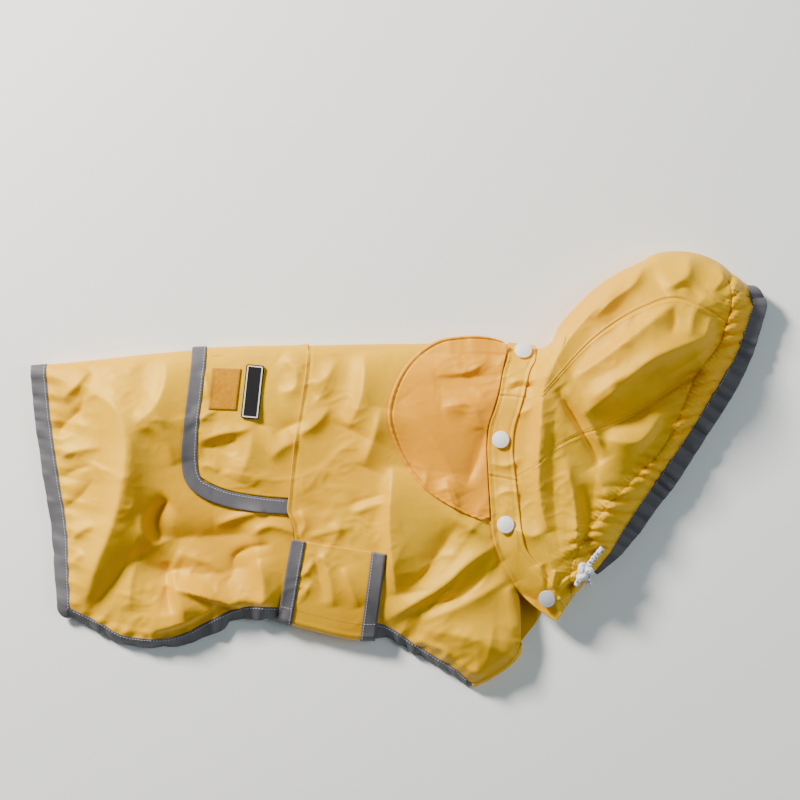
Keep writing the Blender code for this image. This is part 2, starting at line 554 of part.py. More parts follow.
# Hood. Seams and edges run from the neck band to the drawcord channel: x, y
FAR_SEAM = [(99.9, 54.0), (111.2, 56.5), (122, 70), (163.2, 110.6), (193.6, 128.6), (216.8, 135.8),
            (241.6, 128.2), (261.4, 117.2)]
NEAR_SEAM = [(95.6, -6.0), (108, 3), (122, 16), (142.4, 27.2), (158.4, 32.4), (188.8, 45.2),
             (215.2, 61.6), (238.2, 79.0)]
SEAM_IN = 0.45         # half the opening along a hood seam, up the page
HOOD_NECK_UP = [(99.9, 54.0), (105.6, 74), (112, 86.4)]
HOOD_NECK_MID = [(95.6, -6.0), (92.6, 12), (92.6, 28), (95.2, 42), (99.9, 54.0)]
HOOD_NECK_LOW = [(134.8, -109.8), (127.4, -95.4), (118.6, -81.6), (111.2, -72.8), (105.6, -66.4),
                 (101.6, -59.4), (99.1, -49.4), (97.4, -30), (95.2, -10), (95.6, -6.0)]
HOOD_FAR_END = [(106.6, 6.0), (130, 5), (165, 5), (197, 7)]
GATHER_UP = [(261.4, 117.2), (264.0, 128), (265.0, 138), (264.3, 146)]
GATHER_MID = [(238.2, 79.0), (245, 88), (254.5, 99), (261.4, 117.2)]
GATHER_LOW = [(138.4, -102.2), (136, -90), (137, -76), (148, -52), (163, -31), (187, -6), (205, 12),
              (219, 34), (228, 56), (238.2, 79.0)]
THROAT = [(134.8, -109.8), (136.6, -106), (138.4, -102.2)]
HOOD_PANEL_FOLD = HOOD_FOLD[:-2] + [(268.8, 152.8, 234)]


def move_up(xy, up):
    return np.stack([xy[:, 0], xy[:, 1] + up], -1)


def far_panel(u, v):
    inner = in_plan(HOOD_PANEL_FOLD, FOLD)
    up = np.clip(v, 0, 1)
    near = move_up(coons(HOOD_NECK_UP, GATHER_UP, FAR_SEAM, inner, u, up), SEAM_IN * (1 - up))
    turn = lay_hood(through(HOOD_PANEL_FOLD, u), FOLD - (np.clip(v, 1, 2) - 1) * 2 * FOLD)
    start, end = through(inner, u)[:, :2], through(HOOD_FAR_END, u)[:, :2]
    low = start + (end - start) * np.clip(v - 2, 0, 1)[:, None]
    low = np.concatenate([low, np.full((len(low), 1), WALL / 2)], 1)
    return np.where(v[:, None] <= 1, on_top(near, OVER), np.where(v[:, None] <= 2, turn, low))


def centre_panel(u, v):
    flat = coons(HOOD_NECK_MID, GATHER_MID, NEAR_SEAM, FAR_SEAM, u, v)
    return on_top(move_up(flat, SEAM_IN * (1 - 2 * v)), OVER)


def near_panel(u, v):
    flat = coons(HOOD_NECK_LOW, GATHER_LOW, THROAT, NEAR_SEAM, u, v)
    return on_top(move_up(flat, -SEAM_IN * v), OVER)


def rows_round(near_rows):
    """Rows up the near side, round the ridge and back along the floor."""
    return np.concatenate([np.linspace(0, 1, near_rows), 1 + np.linspace(0, 1, 7)[1:],
                           2 + np.linspace(0, 1, 7)[1:]])


sheet("hood_side_far", COLUMNS, rows_round(6), far_panel, WALL, yellow)
sheet("hood_centre", COLUMNS, np.linspace(0, 1, 9), centre_panel, WALL, yellow)
sheet("hood_side_near", COLUMNS, np.linspace(0, 1, 19), near_panel, WALL, yellow)

# Drawcord channel. Rows: gathered side x, y and front side x, y from the lower corner to the ridge.
CHANNEL = [(139.0, -102.8, 150, -90.4), (136.9, -90, 156, -83.4), (137.9, -76, 167.6, -69),
           (148.9, -52.6, 180.6, -48), (163.8, -31.6, 196, -25), (187.8, -6.8, 213, -2), (206, 11.4, 226, 18),
           (220, 33.6, 237.6, 36), (229, 55.6, 247, 50), (239.0, 78.6, 261, 73), (255.3, 98.6, 272.6, 96),
           (262.2, 117, 280, 117), (265.6, 128, 284.8, 132), (267.0, 142, 283.2, 140)]
CHANNEL_FOLD = [(269.7, 152.1, 235), (275.2, 148.3, 255), (281.9, 144.3, 278)]
CHANNEL_FAR = [(198, 7), (206, 4), (213, 1)]


def channel_place(u, v, pucker=PUCKER_H):
    """u across the channel; v 0 to 1 on the upper layer, 1 to 2 round the ridge, 2 to 3 on the floor."""
    row = through(CHANNEL, np.clip(v, 0, 1))
    fold = through(CHANNEL_FOLD, u)
    n = np.stack([np.cos(np.radians(fold[:, 2])), np.sin(np.radians(fold[:, 2]))], -1)
    inner = fold[:, :2] + n * FOLD
    p = row[:, :2] + (row[:, 2:] - row[:, :2]) * u[:, None]
    ease = np.clip((v - 0.93) / 0.07, 0, 1)[:, None]
    p = p + (inner - p) * ease**2
    near = on_top(p, OVER)
    fade = np.clip(v / 0.04, 0, 1) * np.clip((1 - v) / 0.05, 0, 1)
    wave = np.sin(v * 2 * np.pi * PUCKERS + 0.9 * np.sin(v * 23)) * (0.8 + 0.35 * np.sin(v * 41))
    near[:, 2] += pucker * fade * wave * np.interp(u, [0, 0.35, 0.7, 1], [0.5, 1, 0.7, 0])
    turn = lay_hood(fold, FOLD - (np.clip(v, 1, 2) - 1) * 2 * FOLD)
    low = inner + (through(CHANNEL_FAR, u)[:, :2] - inner) * np.clip(v - 2, 0, 1)[:, None]
    low = np.concatenate([low, np.full((len(low), 1), WALL / 2)], 1)
    return np.where(v[:, None] <= 1, near, np.where(v[:, None] <= 2, turn, low))


sheet("hood_casing", np.linspace(0, 1, 4), rows_round(4 * PUCKERS + 1), channel_place, WALL, yellow)


def front_rim(t):
    """From the throat corner up the channel's front side, round the ridge, back along the floor.
    The binding lies flat and square to the edge, and turns with the channel at the ridge."""
    one = np.ones(len(t))
    p, q = channel_place(one, t, 0), channel_place(one * 0.8, t, 0)
    ahead = channel_place(one, t + 0.01, 0) - channel_place(one, t - 0.01, 0)
    ahead /= np.linalg.norm(ahead[:, :2], axis=1)[:, None] + 1e-9
    square = np.stack([ahead[:, 1], -ahead[:, 0], 0 * t], -1)
    return p, corner(p, square, p - q, np.clip((t - 0.9) / 0.1, 0, 1))


edging("hood_binding", np.append(0.05, rows_round(PUCKERS + 1)[2:]), front_rim,
       [(0.05, 3, 1, 1.4), (0.12, 8, 2, 1.3), (0.2, 11.5, 2, 1.2), (0.35, 12.4, 2, 1.2), (0.75, 12, 2, 1.2),
        (0.9, 10.6, 2, 1.2), (0.96, 9.6, 1, 1.1), (1, 9, 0, 0.9), (2, 10, 0, 0.7), (3, 11, 0, 0.7)])

# Snap caps: name, x, distance from the top fold; and their profile, as shares of the radius and the height
SNAPS = [("snap_1", 100.0, 5.5), ("snap_2", 81.6, 75.2), ("snap_3", 85.6, 142.4), ("snap_4", 118.9, 197.3)]
CAP = [(0, 1), (0.5, 0.94), (0.82, 0.72), (0.97, 0.38), (1.0, 0.12), (0.96, 0), (0, 0)]
for name, x, s in SNAPS:
    profile = bpy.data.meshes.new(name)
    profile.from_pydata([(r * SNAP_R * MM, 0, z * SNAP_H * MM) for r, z in CAP],
                        [(i, i + 1) for i in range(len(CAP) - 1)], [])
    cap = add(name, profile, white)
    turned = cap.modifiers.new("Turned", "SCREW")
    turned.steps = turned.render_steps = 20
    turned.use_merge_vertices = True
    turned.merge_threshold = 0.00001
    # the cap sits on the highest places of the band that are under it
    across = np.linspace(-SNAP_R, SNAP_R, 15)
    gx, gs = np.meshgrid(x + across, s + across)
    cloth = lay(gx.ravel(), gs.ravel(), BAND_OVER + WALL / 2)
    here = lay(np.array([x, x + 2, x - 2, x, x]), np.array([s, s, s, s + 2, s - 2]), BAND_OVER + WALL / 2)
    up = np.cross(here[1] - here[2], here[4] - here[3])
    up = up / np.linalg.norm(up) * 0.55 + np.array([0, 0, 0.45])
    up /= np.linalg.norm(up)
    rel = cloth - here[0]
    rise = rel @ up
    under = np.linalg.norm(rel - rise[:, None] * up, axis=1) < SNAP_R + 0.4
    at = here[0] + up * (float(np.max(rise[under])) + GAP)
    cap.rotation_euler = (-np.arcsin(up[1]), np.arctan2(up[0], up[2]), 0)
    cap.location = ((at[0] + SHIFT[0]) * MM, (at[1] + SHIFT[1]) * MM, at[2] * MM)

# Drawcord: out of its buttonhole, through the knot, and two cut ends. Rows: x, y, height above the
# knot's middle
KNOT = (147.6, -81.2, 10.2)      # x, y, height above the upper layer
KNOT_SIZE = [6.6, 8.0, 4.6]      # half of its length, breadth and height
KNOT_TURN = -38
CORD = [(161.6, -62.4, 1.6), (158.6, -66.0, 1.3), (155.4, -70.0, 0.6), (152.5, -74.1, 0)]
TAILS = [("cord_tail_1", [(143.4, -88.5, 0), (142.0, -90.9, -0.5), (141.0, -93.1, -1.4)]),
         ("cord_tail_2", [(150.9, -87.6, 0), (152.2, -90.1, -0.6), (153.3, -92.4, -1.8)])]
knot_z = float(height(KNOT[0], KNOT[1])) + KNOT[2]
for name, rows in [("drawcord", CORD)] + TAILS:
    line = bpy.data.curves.new(name, "CURVE")
    line.dimensions = "3D"
    line.bevel_depth = CORD_R * MM
    line.bevel_resolution = 2
    line.use_fill_caps = True
    spline = line.splines.new("POLY")
    pts = through(rows, np.linspace(0, 1, 5))
    spline.points.add(len(pts) - 1)
    for point, (x, y, z) in zip(spline.points, pts):
        point.co = ((x + SHIFT[0]) * MM, (y + SHIFT[1]) * MM, (knot_z + z) * MM, 1)
    add(name, line, rope)
bpy.ops.mesh.primitive_uv_sphere_add(segments=14, ring_count=9, radius=1)
knot = bpy.context.object
for old in list(knot.users_collection):
    old.objects.unlink(knot)
coat.objects.link(knot)
knot.name = knot.data.name = "cord_knot"
knot.data.materials.append(rope)
for v in knot.data.vertices:
    v.co = [c * r * MM for c, r in zip(v.co, KNOT_SIZE)]
knot.rotation_euler = (0, 0, np.radians(KNOT_TURN))
knot.location = ((KNOT[0] + SHIFT[0]) * MM, (KNOT[1] + SHIFT[1]) * MM, knot_z * MM)

for o in coat.objects:
    if o.type == "MESH":
        o.data.shade_smooth()
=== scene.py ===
"""Dog raincoat of coated nylon, lying flat on its left side, hood to the right: the looks of its pieces.

Each cloth piece is laid in millimetres by its own place function and written in metres.
"""

import bpy
import numpy as np
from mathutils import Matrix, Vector, noise


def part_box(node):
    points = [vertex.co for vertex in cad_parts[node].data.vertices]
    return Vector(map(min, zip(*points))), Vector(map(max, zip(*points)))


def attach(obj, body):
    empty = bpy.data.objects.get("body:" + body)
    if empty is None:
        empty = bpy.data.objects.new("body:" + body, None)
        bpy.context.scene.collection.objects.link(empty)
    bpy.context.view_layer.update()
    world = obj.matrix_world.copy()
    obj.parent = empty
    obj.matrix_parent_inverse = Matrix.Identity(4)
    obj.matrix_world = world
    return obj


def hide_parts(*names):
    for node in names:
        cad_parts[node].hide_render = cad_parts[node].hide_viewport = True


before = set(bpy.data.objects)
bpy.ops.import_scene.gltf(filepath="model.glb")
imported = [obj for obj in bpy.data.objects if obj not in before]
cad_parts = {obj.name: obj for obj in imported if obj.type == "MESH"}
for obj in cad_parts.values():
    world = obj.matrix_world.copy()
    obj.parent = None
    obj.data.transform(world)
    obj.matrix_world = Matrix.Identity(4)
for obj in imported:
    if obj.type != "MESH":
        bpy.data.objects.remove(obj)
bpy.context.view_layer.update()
MM = 0.001
SHIFT = np.array([0.07, 0.42, 0.0])      # the coat's middle is over the origin

# ---------------- camera
# Straight above the coat, with a long lens, so that its sides don't show.
bpy.ops.object.camera_add(location=(0.0017, 0.0556, 1.792), rotation=(0, 0, 0))
camera = bpy.context.object
camera.data.lens = 100
camera.data.sensor_width = 36
bpy.context.scene.camera = camera


# ---------------- drawcord
# A braided cord, white with dark flecks. It leaves a buttonhole low in the hood's channel,
# passes through its own knot, and its two cut ends show below the knot.
CORD_R = 2.4
CORD = [
    (162.2, -61.6, 30.6), (160.2, -64.0, 31.6), (158.6, -66.0, 31.2), (155.4, -70.0, 30.5),
    (152.5, -74.1, 29.9), (149.6, -78.4, 29.8), (146.6, -83.0, 29.8), (143.9, -87.6, 29.6),
    (142.2, -90.6, 29.0), (141.2, -92.6, 28.4),
]
LOOSE_END = [(148.6, -83.0, 29.6), (150.2, -86.4, 29.6), (151.6, -89.2, 29.0), (152.8, -91.8, 28.0)]
KNOT_AT = (147.6, -81.2, 29.85)
KNOT_TURN = np.radians(-38)
CORD_WHITE = (0.80, 0.78, 0.82)
CORD_FLECK = (0.13, 0.12, 0.15)
ONE_LINE = 0.000002                      # grid points closer than this, in metres, are one


def travelled(points):
    """Distance along the points, at each of them."""
    return np.concatenate([[0], np.cumsum(np.linalg.norm(np.diff(points, axis=0), axis=1))])


def unit(vectors):
    """The vectors, each of length 1."""
    return vectors / (np.linalg.norm(vectors, axis=-1, keepdims=True) + 1e-9)


def curve_at(p, k, t):
    """A smooth curve that passes the points p at k: its points at t, and the stretch each is on."""
    m = np.gradient(p, k, axis=0)
    i = np.clip(np.searchsorted(k, t, side="right") - 1, 0, len(k) - 2)
    h = (k[i + 1] - k[i])[..., None]
    f = (t - k[i])[..., None] / h
    curve = ((2 * f**3 - 3 * f**2 + 1) * p[i] + (f**3 - 2 * f**2 + f) * h * m[i]
             + (3 * f**2 - 2 * f**3) * p[i + 1] + (f**3 - f**2) * h * m[i + 1])
    return curve, i


def grid_piece(name, points, finish, closed_around=False):
    """A grid of points, rows by columns, in millimetres, as a piece with a UV map in metres."""
    rows, columns = points.shape[:2]
    bpy.ops.object.select_all(action="DESELECT")
    bpy.ops.mesh.primitive_grid_add(x_subdivisions=columns - 1, y_subdivisions=rows - 1, size=2)
    piece = bpy.context.object
    piece.name = piece.data.name = name
    mesh = piece.data
    co = np.empty(len(mesh.vertices) * 3)
    mesh.vertices.foreach_get("co", co)
    co = co.reshape(-1, 3)
    i = np.rint((co[:, 0] + 1) / 2 * (columns - 1)).astype(int)
    j = np.rint((co[:, 1] + 1) / 2 * (rows - 1)).astype(int)
    mesh.vertices.foreach_set("co", ((points[j, i] + SHIFT) * MM).ravel())
    along = travelled(points[rows // 2]) * MM
    up = travelled(points[:, columns // 2]) * MM
    at = np.empty(len(mesh.loops), int)
    mesh.loops.foreach_get("vertex_index", at)
    mesh.uv_layers[0].data.foreach_set("uv", np.stack([along[i[at]], up[j[at]]], -1).ravel())
    mesh.materials.append(finish)
    mesh.shade_smooth()
    mesh.update()
    if closed_around:
        bpy.ops.object.mode_set(mode="EDIT")
        bpy.ops.mesh.select_all(action="SELECT")
        bpy.ops.mesh.remove_doubles(threshold=ONE_LINE)
        bpy.ops.mesh.select_all(action="DESELECT")
        bpy.ops.mesh.select_non_manifold()
        bpy.ops.mesh.edge_face_add()
        bpy.ops.mesh.select_all(action="SELECT")
        bpy.ops.mesh.normals_make_consistent(inside=False)
        bpy.ops.object.mode_set(mode="OBJECT")
    return piece


def new_finish(name, color, roughness, **shine):
    """A material and its shader's own values. Also node, which adds a node fed by coordinates or by other
    nodes and gives its output, and feed, which links one to the shader."""
    finish = bpy.data.materials.new(name)
    finish.use_nodes = True
    tree = finish.node_tree
    shader = tree.nodes["Principled BSDF"]
    for key, value in dict(shine, Base_Color=(*color, 1), Roughness=roughness).items():
        shader.inputs[key.replace("_", " ")].default_value = value

    def node(kind, *sources, tones=(), **values):
        made = tree.nodes.new("ShaderNode" + kind)
        for key, value in values.items():
            if hasattr(made, key):
                setattr(made, key, value)
            elif isinstance(value, bpy.types.NodeSocket):
                tree.links.new(value, made.inputs[key])
            else:
                made.inputs[key.replace("_", " ")].default_value = value
        for k, source in enumerate(sources):
            if isinstance(source, str):
                place = tree.nodes.get("Texture Coordinate") or tree.nodes.new("ShaderNodeTexCoord")
                source = place.outputs[source]
            tree.links.new(source, made.inputs[k])
        for k, (at, tone) in enumerate(tones):
            made.color_ramp.elements[k].position = at
            made.color_ramp.elements[k].color = (*tone, 1)
        return made.outputs.get("Fac") or made.outputs[0]

    def feed(socket, source):
        tree.links.new(source, shader.inputs[socket])
    return finish, node, feed


cord_finish, node, feed = new_finish("braided_cord", CORD_WHITE, 0.85)
turned = node("Mapping", "UV", Scale=(460, 460, 1), Rotation=(0, 0, 0.78))
squares = node("TexChecker", turned, Scale=1.0)
spots = node("TexNoise", "UV", Scale=330.0, Detail=1.0)
dark = node("Math", squares, spots, operation="MULTIPLY")
feed("Base Color", node("ValToRGB", dark, tones=[(0.44, CORD_WHITE), (0.53, CORD_FLECK)]))
white_cord, node, feed = new_finish("white_cord", (0.84, 0.82, 0.86), 0.85)
strands = node("TexWave", "UV", Scale=260.0, bands_direction="DIAGONAL", Distortion=2.0)
feed("Normal", node("Bump", Height=strands, Strength=0.5, Distance=0.0004))


def braid(name, rows, rings, radius, finish):
    """A round braid along a line: two sets of strands wound against each other. Its ends are cut."""
    rows = np.array(rows, float)
    k = travelled(rows)
    line, _ = curve_at(rows, k, np.linspace(0, k[-1], rings))
    ahead = unit(np.gradient(line, axis=0))
    side = unit(np.cross(ahead, [0, 0, 1.0]))
    over = np.cross(side, ahead)
    a, s = np.meshgrid(np.linspace(0, 2 * np.pi, 33), np.linspace(0, travelled(line)[-1], rings))
    strands = np.maximum(np.sin(4 * a + s * 1.5), np.sin(4 * a - s * 1.5))
    ends = np.minimum(np.arange(rings), np.arange(rings)[::-1]) / 3
    r = radius * (0.93 + 0.09 * strands) * np.sqrt(np.clip(ends, 0.05, 1))[:, None]
    around = np.cos(a)[..., None] * side[:, None] + np.sin(a)[..., None] * over[:, None]
    return grid_piece(name, line[:, None] + r[..., None] * around, finish, closed_around=True), line


cord, cord_line = braid("cord_through_knot", CORD, 110, CORD_R, cord_finish)
loose_end, _ = braid("cord_loose_end", LOOSE_END, 34, CORD_R, cord_finish)
# the knot: an overhand knot drawn tight, a closed loop of the same cord round itself
t = np.linspace(0, 2 * np.pi, 15)
x, y = 2.0 * np.sin(t) + 2.5 * np.sin(2 * t), 2.4 * np.cos(t) - 3.4 * np.cos(2 * t)
loop = np.stack([x * np.cos(KNOT_TURN) - y * np.sin(KNOT_TURN), x * np.sin(KNOT_TURN) + y * np.cos(KNOT_TURN),
                 -1.9 * np.sin(3 * t)], -1)
knot, _ = braid("drawcord_knot", loop + KNOT_AT, 130, 2.9, white_cord)
for piece, nodes in [(cord, ["drawcord", "cord_tail_1"]), (loose_end, ["cord_tail_2"]),
                     (knot, ["cord_knot"])]:
    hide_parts(*nodes)
    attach(piece, "root")

# ---------------- back panel
# Coated nylon, both sides of the back cut in one, from the saddle seam to the rear hem. Its upper layer
# rises off the surface in soft folds, turns at the top fold and comes back flat along the surface.
WALL = 0.5
OVER = 1.7                               # a piece that lies on another, above its middle
FOLD = 8.0
UNDER = 2.6                              # how far the lower layer rises over what passes beneath it
UNDER_IT = [(-176, -72, -60, 20), (66, 125, -100, 20)]      # x and s of the pocket flap and the neck band
CALM = 9.0                               # how far in from the coat's edges its folds fade
TOP_FOLD = [
    (-296, 82.4), (-262, 85.2), (-234, 88.2), (-198, 92.2), (-162, 95.2), (-122, 96.6), (-84, 97.2),
    (-66, 99.0), (-6, 100.2), (58, 100.0), (90, 98.6), (104, 96.8), (120, 94.6),
]

# Height of the upper layer along each edge of the coat: name, height, points
EDGES = [
    ("top fold", 11.0, [(-283, 83), (-198, 92.8), (-122, 98.8), (20, 100.4), (90, 100), (112, 97)]),
    ("hood ridge", 14.0, [(122, 103), (140, 129), (177, 159), (206, 173.5), (234, 175), (259, 165.6),
        (279, 148.5)]),
    ("rear hem", 11.0, [(-283, 83), (-280, 40), (-273, -5), (-267, -50), (-266, -110)]),
    ("flank hem", 10.0, [(-266, -112), (-238, -127), (-205, -141), (-180, -141), (-158, -128),
        (-124, -113), (-96, -117)]),
    ("strap turn", 11.0, [(-96, -122), (-50, -134), (-17, -137)]),
    ("leg hem", 9.0, [(-10, -130), (23, -150), (64, -174)]),
    ("chest fold", 10.0, [(64, -174), (95, -154), (102, -140)]),
    ("neck edge", 14.0, [(102, -140), (99, -121), (96, -99), (110, -105), (126, -121)]),
    ("hood corner", 13.0, [(134, -110), (150, -90), (172, -68)]),
    ("hood front", 11.0, [(172, -68), (200, -19), (234, 30), (270, 90), (284, 130), (279, 148)]),
]

# Loft of the upper layer away from the edges: x, height, reach in from the edge
LOFTS = [
    (-300, 15, 50), (-200, 22, 60), (-80, 21, 55), (20, 24, 60), (80, 25, 50), (130, 38, 55),
    (200, 42, 60), (300, 30, 50),
]

# Folds of the upper layer, from the rear hem to the hood: height, width of the fall on the left of the line
# and on its right, and the line of the crest or trough. Wide folds stand out more than narrow ones.
NARROW_GAIN, WIDE_GAIN = 1.25, 0.65
FOLDS = [
    (2.6, 12, 34, [(-232, 72), (-216, 46), (-211, 20), (-214, -8), (-223, -40)]),
    (7.8, 22, 13, [(-252, 67), (-223, 46), (-215, 24), (-216, 2), (-220, -22), (-228, -49), (-238, -72),
        (-247, -98), (-252, -116)]),
    (-5.5, 20, 12, [(-193, -62), (-211, -72), (-228, -91), (-249, -116)]),
    (-7, 8, 6, [(-181, -24), (-191, -32), (-195, -45), (-190, -59)]),
    (-3.8, 10, 45, [(-202, -53), (-180, -55), (-151, -54), (-112, -51)]),
    (-5.6, 25, 18, [(-214, -72), (-186, -82), (-151, -84), (-112, -76)]),
    (2.6, 4, 4, [(-205, -34), (-203, -49), (-193, -64)]),
    (2.6, 6, 7, [(-208, -71), (-213, -91), (-215, -114)]),
    (4.5, 16, 4, [(-180, -81), (-177, -99), (-168, -120)]),
    (-3, 5, 9, [(-185, -74), (-185, -96), (-181, -116)]),
    (5.5, 22, 2.4, [(-178, -95), (-154, -102), (-124, -111), (-94, -113)]),
    (3.6, 18, 3, [(-201, -131), (-185, -127), (-164, -120), (-141, -106)]),
    (-2.4, 2.4, 5, [(-132, -82), (-131, -70), (-119, -63), (-100, -60)]),
    (3, 8, 4, [(-112, -72), (-107, -91), (-109, -113)]),
    (3, 5, 3, [(-146, -45), (-126, -38), (-105, -33)]), (3, 5, 4, [(-119, -53), (-102, -45), (-82, -51)]),
    (4.5, 8, 26, [(-208, 35), (-193, 49), (-186, 67), (-185, 91)]),
    (-3.6, 7, 6, [(-249, 62), (-255, 46), (-269, 34), (-274, 24)]),
    (3, 10, 5, [(-269, 56), (-254, 69), (-247, 78)]), (2, 8, 3, [(-275, 8), (-259, 14), (-235, 17)]),
    (-1.8, 3, 6, [(-270, -7), (-252, 1), (-242, 2)]), (-1.8, 3, 7, [(-269, -32), (-254, -22), (-242, -7)]),
    (2.2, 7, 4, [(-265, -59), (-252, -49), (-242, -44)]),
    (2.2, 5, 5, [(-265, -77), (-255, -70), (-250, -67)]),
    (2, 14, 6, [(-211, 30), (-198, 34), (-185, 24), (-178, 3)]),
    (2.6, 10, 8, [(-178, -67), (-151, -76), (-134, -86)]),
    (3, 9, 4, [(-159, 22), (-141, 28), (-121, 32), (-112, 37)]),
    (-2.6, 4, 7, [(-158, 17), (-142, 19), (-127, 24)]), (3, 16, 9, [(-115, 35), (-117, 17), (-127, -10)]),
    (-2.4, 6, 6, [(-100, 27), (-87, 34), (-72, 40)]), (2.4, 9, 6, [(-102, 8), (-92, 17), (-78, 24)]),
    (2.8, 8, 5, [(-94, 89), (-82, 79), (-83, 64), (-95, 61)]),
    (2, 5, 3, [(-90, 89), (-80, 86), (-73, 81)]), (1.6, 3, 2.5, [(-158, 37), (-151, 44), (-144, 46)]),
    (1.4, 3, 2.5, [(-156, 79), (-152, 69), (-151, 57)]), (1.6, 3, 3, [(-158, 2), (-151, 3), (-142, -2)]),
    (5, 20, 8, [(-28, 94), (-27, 77), (-30, 55), (-40, 32)]),
    (3.6, 7, 14, [(-28, 2), (-19, 26), (-13, 49)]), (2.6, 8, 10, [(-70, 64), (-57, 73), (-48, 89)]),
    (2.4, 12, 5, [(-82, 26), (-65, 36), (-53, 51)]), (-1.6, 6, 2.4, [(-42, -30), (-25, -24), (-6, -19)]),
    (1.6, 4, 3, [(-38, -36), (-21, -30), (-8, -25)]),
    (7, 32, 5, [(-4, 2), (-7, -30), (-6, -62), (-1, -100)]),
    (-4, 10, 20, [(3, -102), (18, -85), (34, -64), (49, -42)]),
    (4.6, 12, 6, [(-14, -123), (14, -106), (36, -92), (54, -76), (81, -57)]),
    (-2.4, 4, 7, [(6, -117), (26, -108), (50, -101), (70, -84), (90, -68)]),
    (1.6, 4, 3, [(26, -112), (42, -96), (52, -82)]), (1.5, 5, 3, [(50, -103), (66, -92), (78, -72)]),
    (3.6, 7, 8, [(18, -122), (58, -104), (88, -87)]), (3.2, 10, 16, [(15, -128), (58, -134), (96, -153)]),
    (2.6, 4, 3, [(5, -138), (28, -141), (39, -147), (36, -155)]),
    (2, 6, 6, [(30, -157), (58, -161), (79, -168)]), (4, 8, 6, [(88, -93), (96, -112), (98, -134)]),
    (3, 6, 10, [(37, -6), (49, -38), (75, -55)]), (2.4, 5, 5, [(-74, -55), (-53, -49), (-34, -45)]),
    (2.2, 4, 5, [(-80, -55), (-74, -45), (-78, -32)]), (-3.6, 6, 8, [(28, 72), (52, 73), (81, 76)]),
    (3.4, 8, 4, [(30, 75), (60, 79), (73, 89)]), (2.4, 7, 7, [(35, 49), (58, 51), (67, 32)]),
    (-2.6, 9, 4, [(54, -13), (62, 5), (70, 32)]), (2.2, 12, 10, [(3, 55), (30, 21), (52, -21)]),
    (1.2, 3, 3, [(11, 5), (22, -2), (20, -17)]), (1.2, 3, 3, [(30, -17), (41, -15), (49, -30)]),
    (2, 4, 3, [(87, 67), (98, 71), (107, 67)]), (-1.6, 3, 3, [(86, 62), (98, 66), (109, 64)]),
    (2, 3, 4, [(94, 43), (105, 49), (111, 58)]), (1.8, 4, 3, [(73, 5), (86, 3), (98, 9)]),
    (1.4, 3, 3, [(77, -21), (88, -17), (98, -19)]),
    (8.5, 22, 3.5, [(133, 121), (119, 97), (114, 64), (111, 30), (110, 2), (112, -23), (119, -50)]),
    (-2.6, 11, 9, [(125, 59), (121, 12), (124, -36), (131, -77)]),
    (-3.6, 15, 28, [(161, 24), (157, 0), (154, -24), (151, -48)]),
    (3.6, 6, 5, [(131, 10), (139, -23), (141, -69)]), (-3, 5, 5, [(146, -11), (150, -40), (148, -69)]),
    (3.2, 8, 6, [(154, 2), (165, -19), (173, -32)]), (-5.5, 9, 3, [(124, 64), (141, 38), (160, 4)]),
    (3.6, 3.5, 8, [(131, 66), (148, 43), (165, 10)]),
    (5, 4, 13, [(138, 72), (175, 99), (198, 117), (218, 131)]),
    (7.5, 14, 9, [(142, 42), (169, 62), (197, 86), (227, 99), (255, 108)]),
    (-6, 14, 8, [(156, 27), (193, 47), (222, 66), (243, 78)]),
    (3, 5, 5, [(148, 53), (173, 72), (189, 80)]), (-3, 4, 4, [(165, 64), (189, 70), (210, 84)]),
    (2.6, 5, 6, [(208, 72), (222, 80), (247, 97)]), (3, 9, 7, [(165, 24), (189, 22), (210, 47)]),
    (-2.6, 6, 6, [(181, -5), (202, 22), (222, 45)]), (-2.6, 4, 5, [(216, 128), (218, 117), (214, 105)]),
    (2.6, 5, 4, [(235, 129), (231, 117), (229, 105)]), (2, 3, 4, [(247, 121), (245, 113), (241, 105)]),
    (5, 7, 12, [(115, 64), (125, 88), (148, 119), (177, 146)]),
    (-4, 3, 3, [(117, 84), (129, 107), (150, 132)]),
    (4.5, 14, 6, [(154, 119), (169, 134), (187, 148), (198, 169)]),
    (3.4, 12, 7, [(210, 142), (229, 155), (231, 171)]), (3.2, 8, 6, [(247, 140), (258, 152), (255, 165)]),
    (-2.6, 4, 4, [(218, 140), (224, 145), (241, 136)]), (2.4, 4, 4, [(260, 134), (270, 142), (274, 150)]),
    (2.6, 4, 4, [(110, -75), (115, -87), (117, -96)]), (-2.4, 3, 3, [(115, -75), (118, -83), (119, -94)]),
    (2.6, 3, 3, [(125, -79), (123, -87), (122, -95)]), (2.8, 4, 3, [(146, -79), (136, -85), (126, -96)]),
    (-2.2, 3, 3, [(142, -89), (133, -94), (127, -99)]),
    (2.4, 4, 4, [(144, -98), (133, -102), (125, -104)]), (3, 6, 6, [(90, -46), (107, -52), (117, -48)]),
    (2.6, 7, 5, [(-61, -64), (-55, -85), (-51, -110)]),
    (-2.2, 5, 5, [(-67, -66), (-62, -89), (-57, -106)]),
    (2.4, 6, 4, [(-44, -78), (-38, -93), (-31, -110)]), (1.4, 3, 3, [(-78, -87), (-70, -78), (-67, -70)]),
    (1.2, 3, 3, [(-80, -104), (-72, -95), (-68, -89)]),
]

# Small wrinkles of the coated cloth: height, width, length to width, turn in degrees and seed
WRINKLES = [(1.3, 30, 1.9, 62, 3.1), (0.9, 19, 2.2, -25, 7.7), (0.6, 10, 1.8, 20, 11.3)]

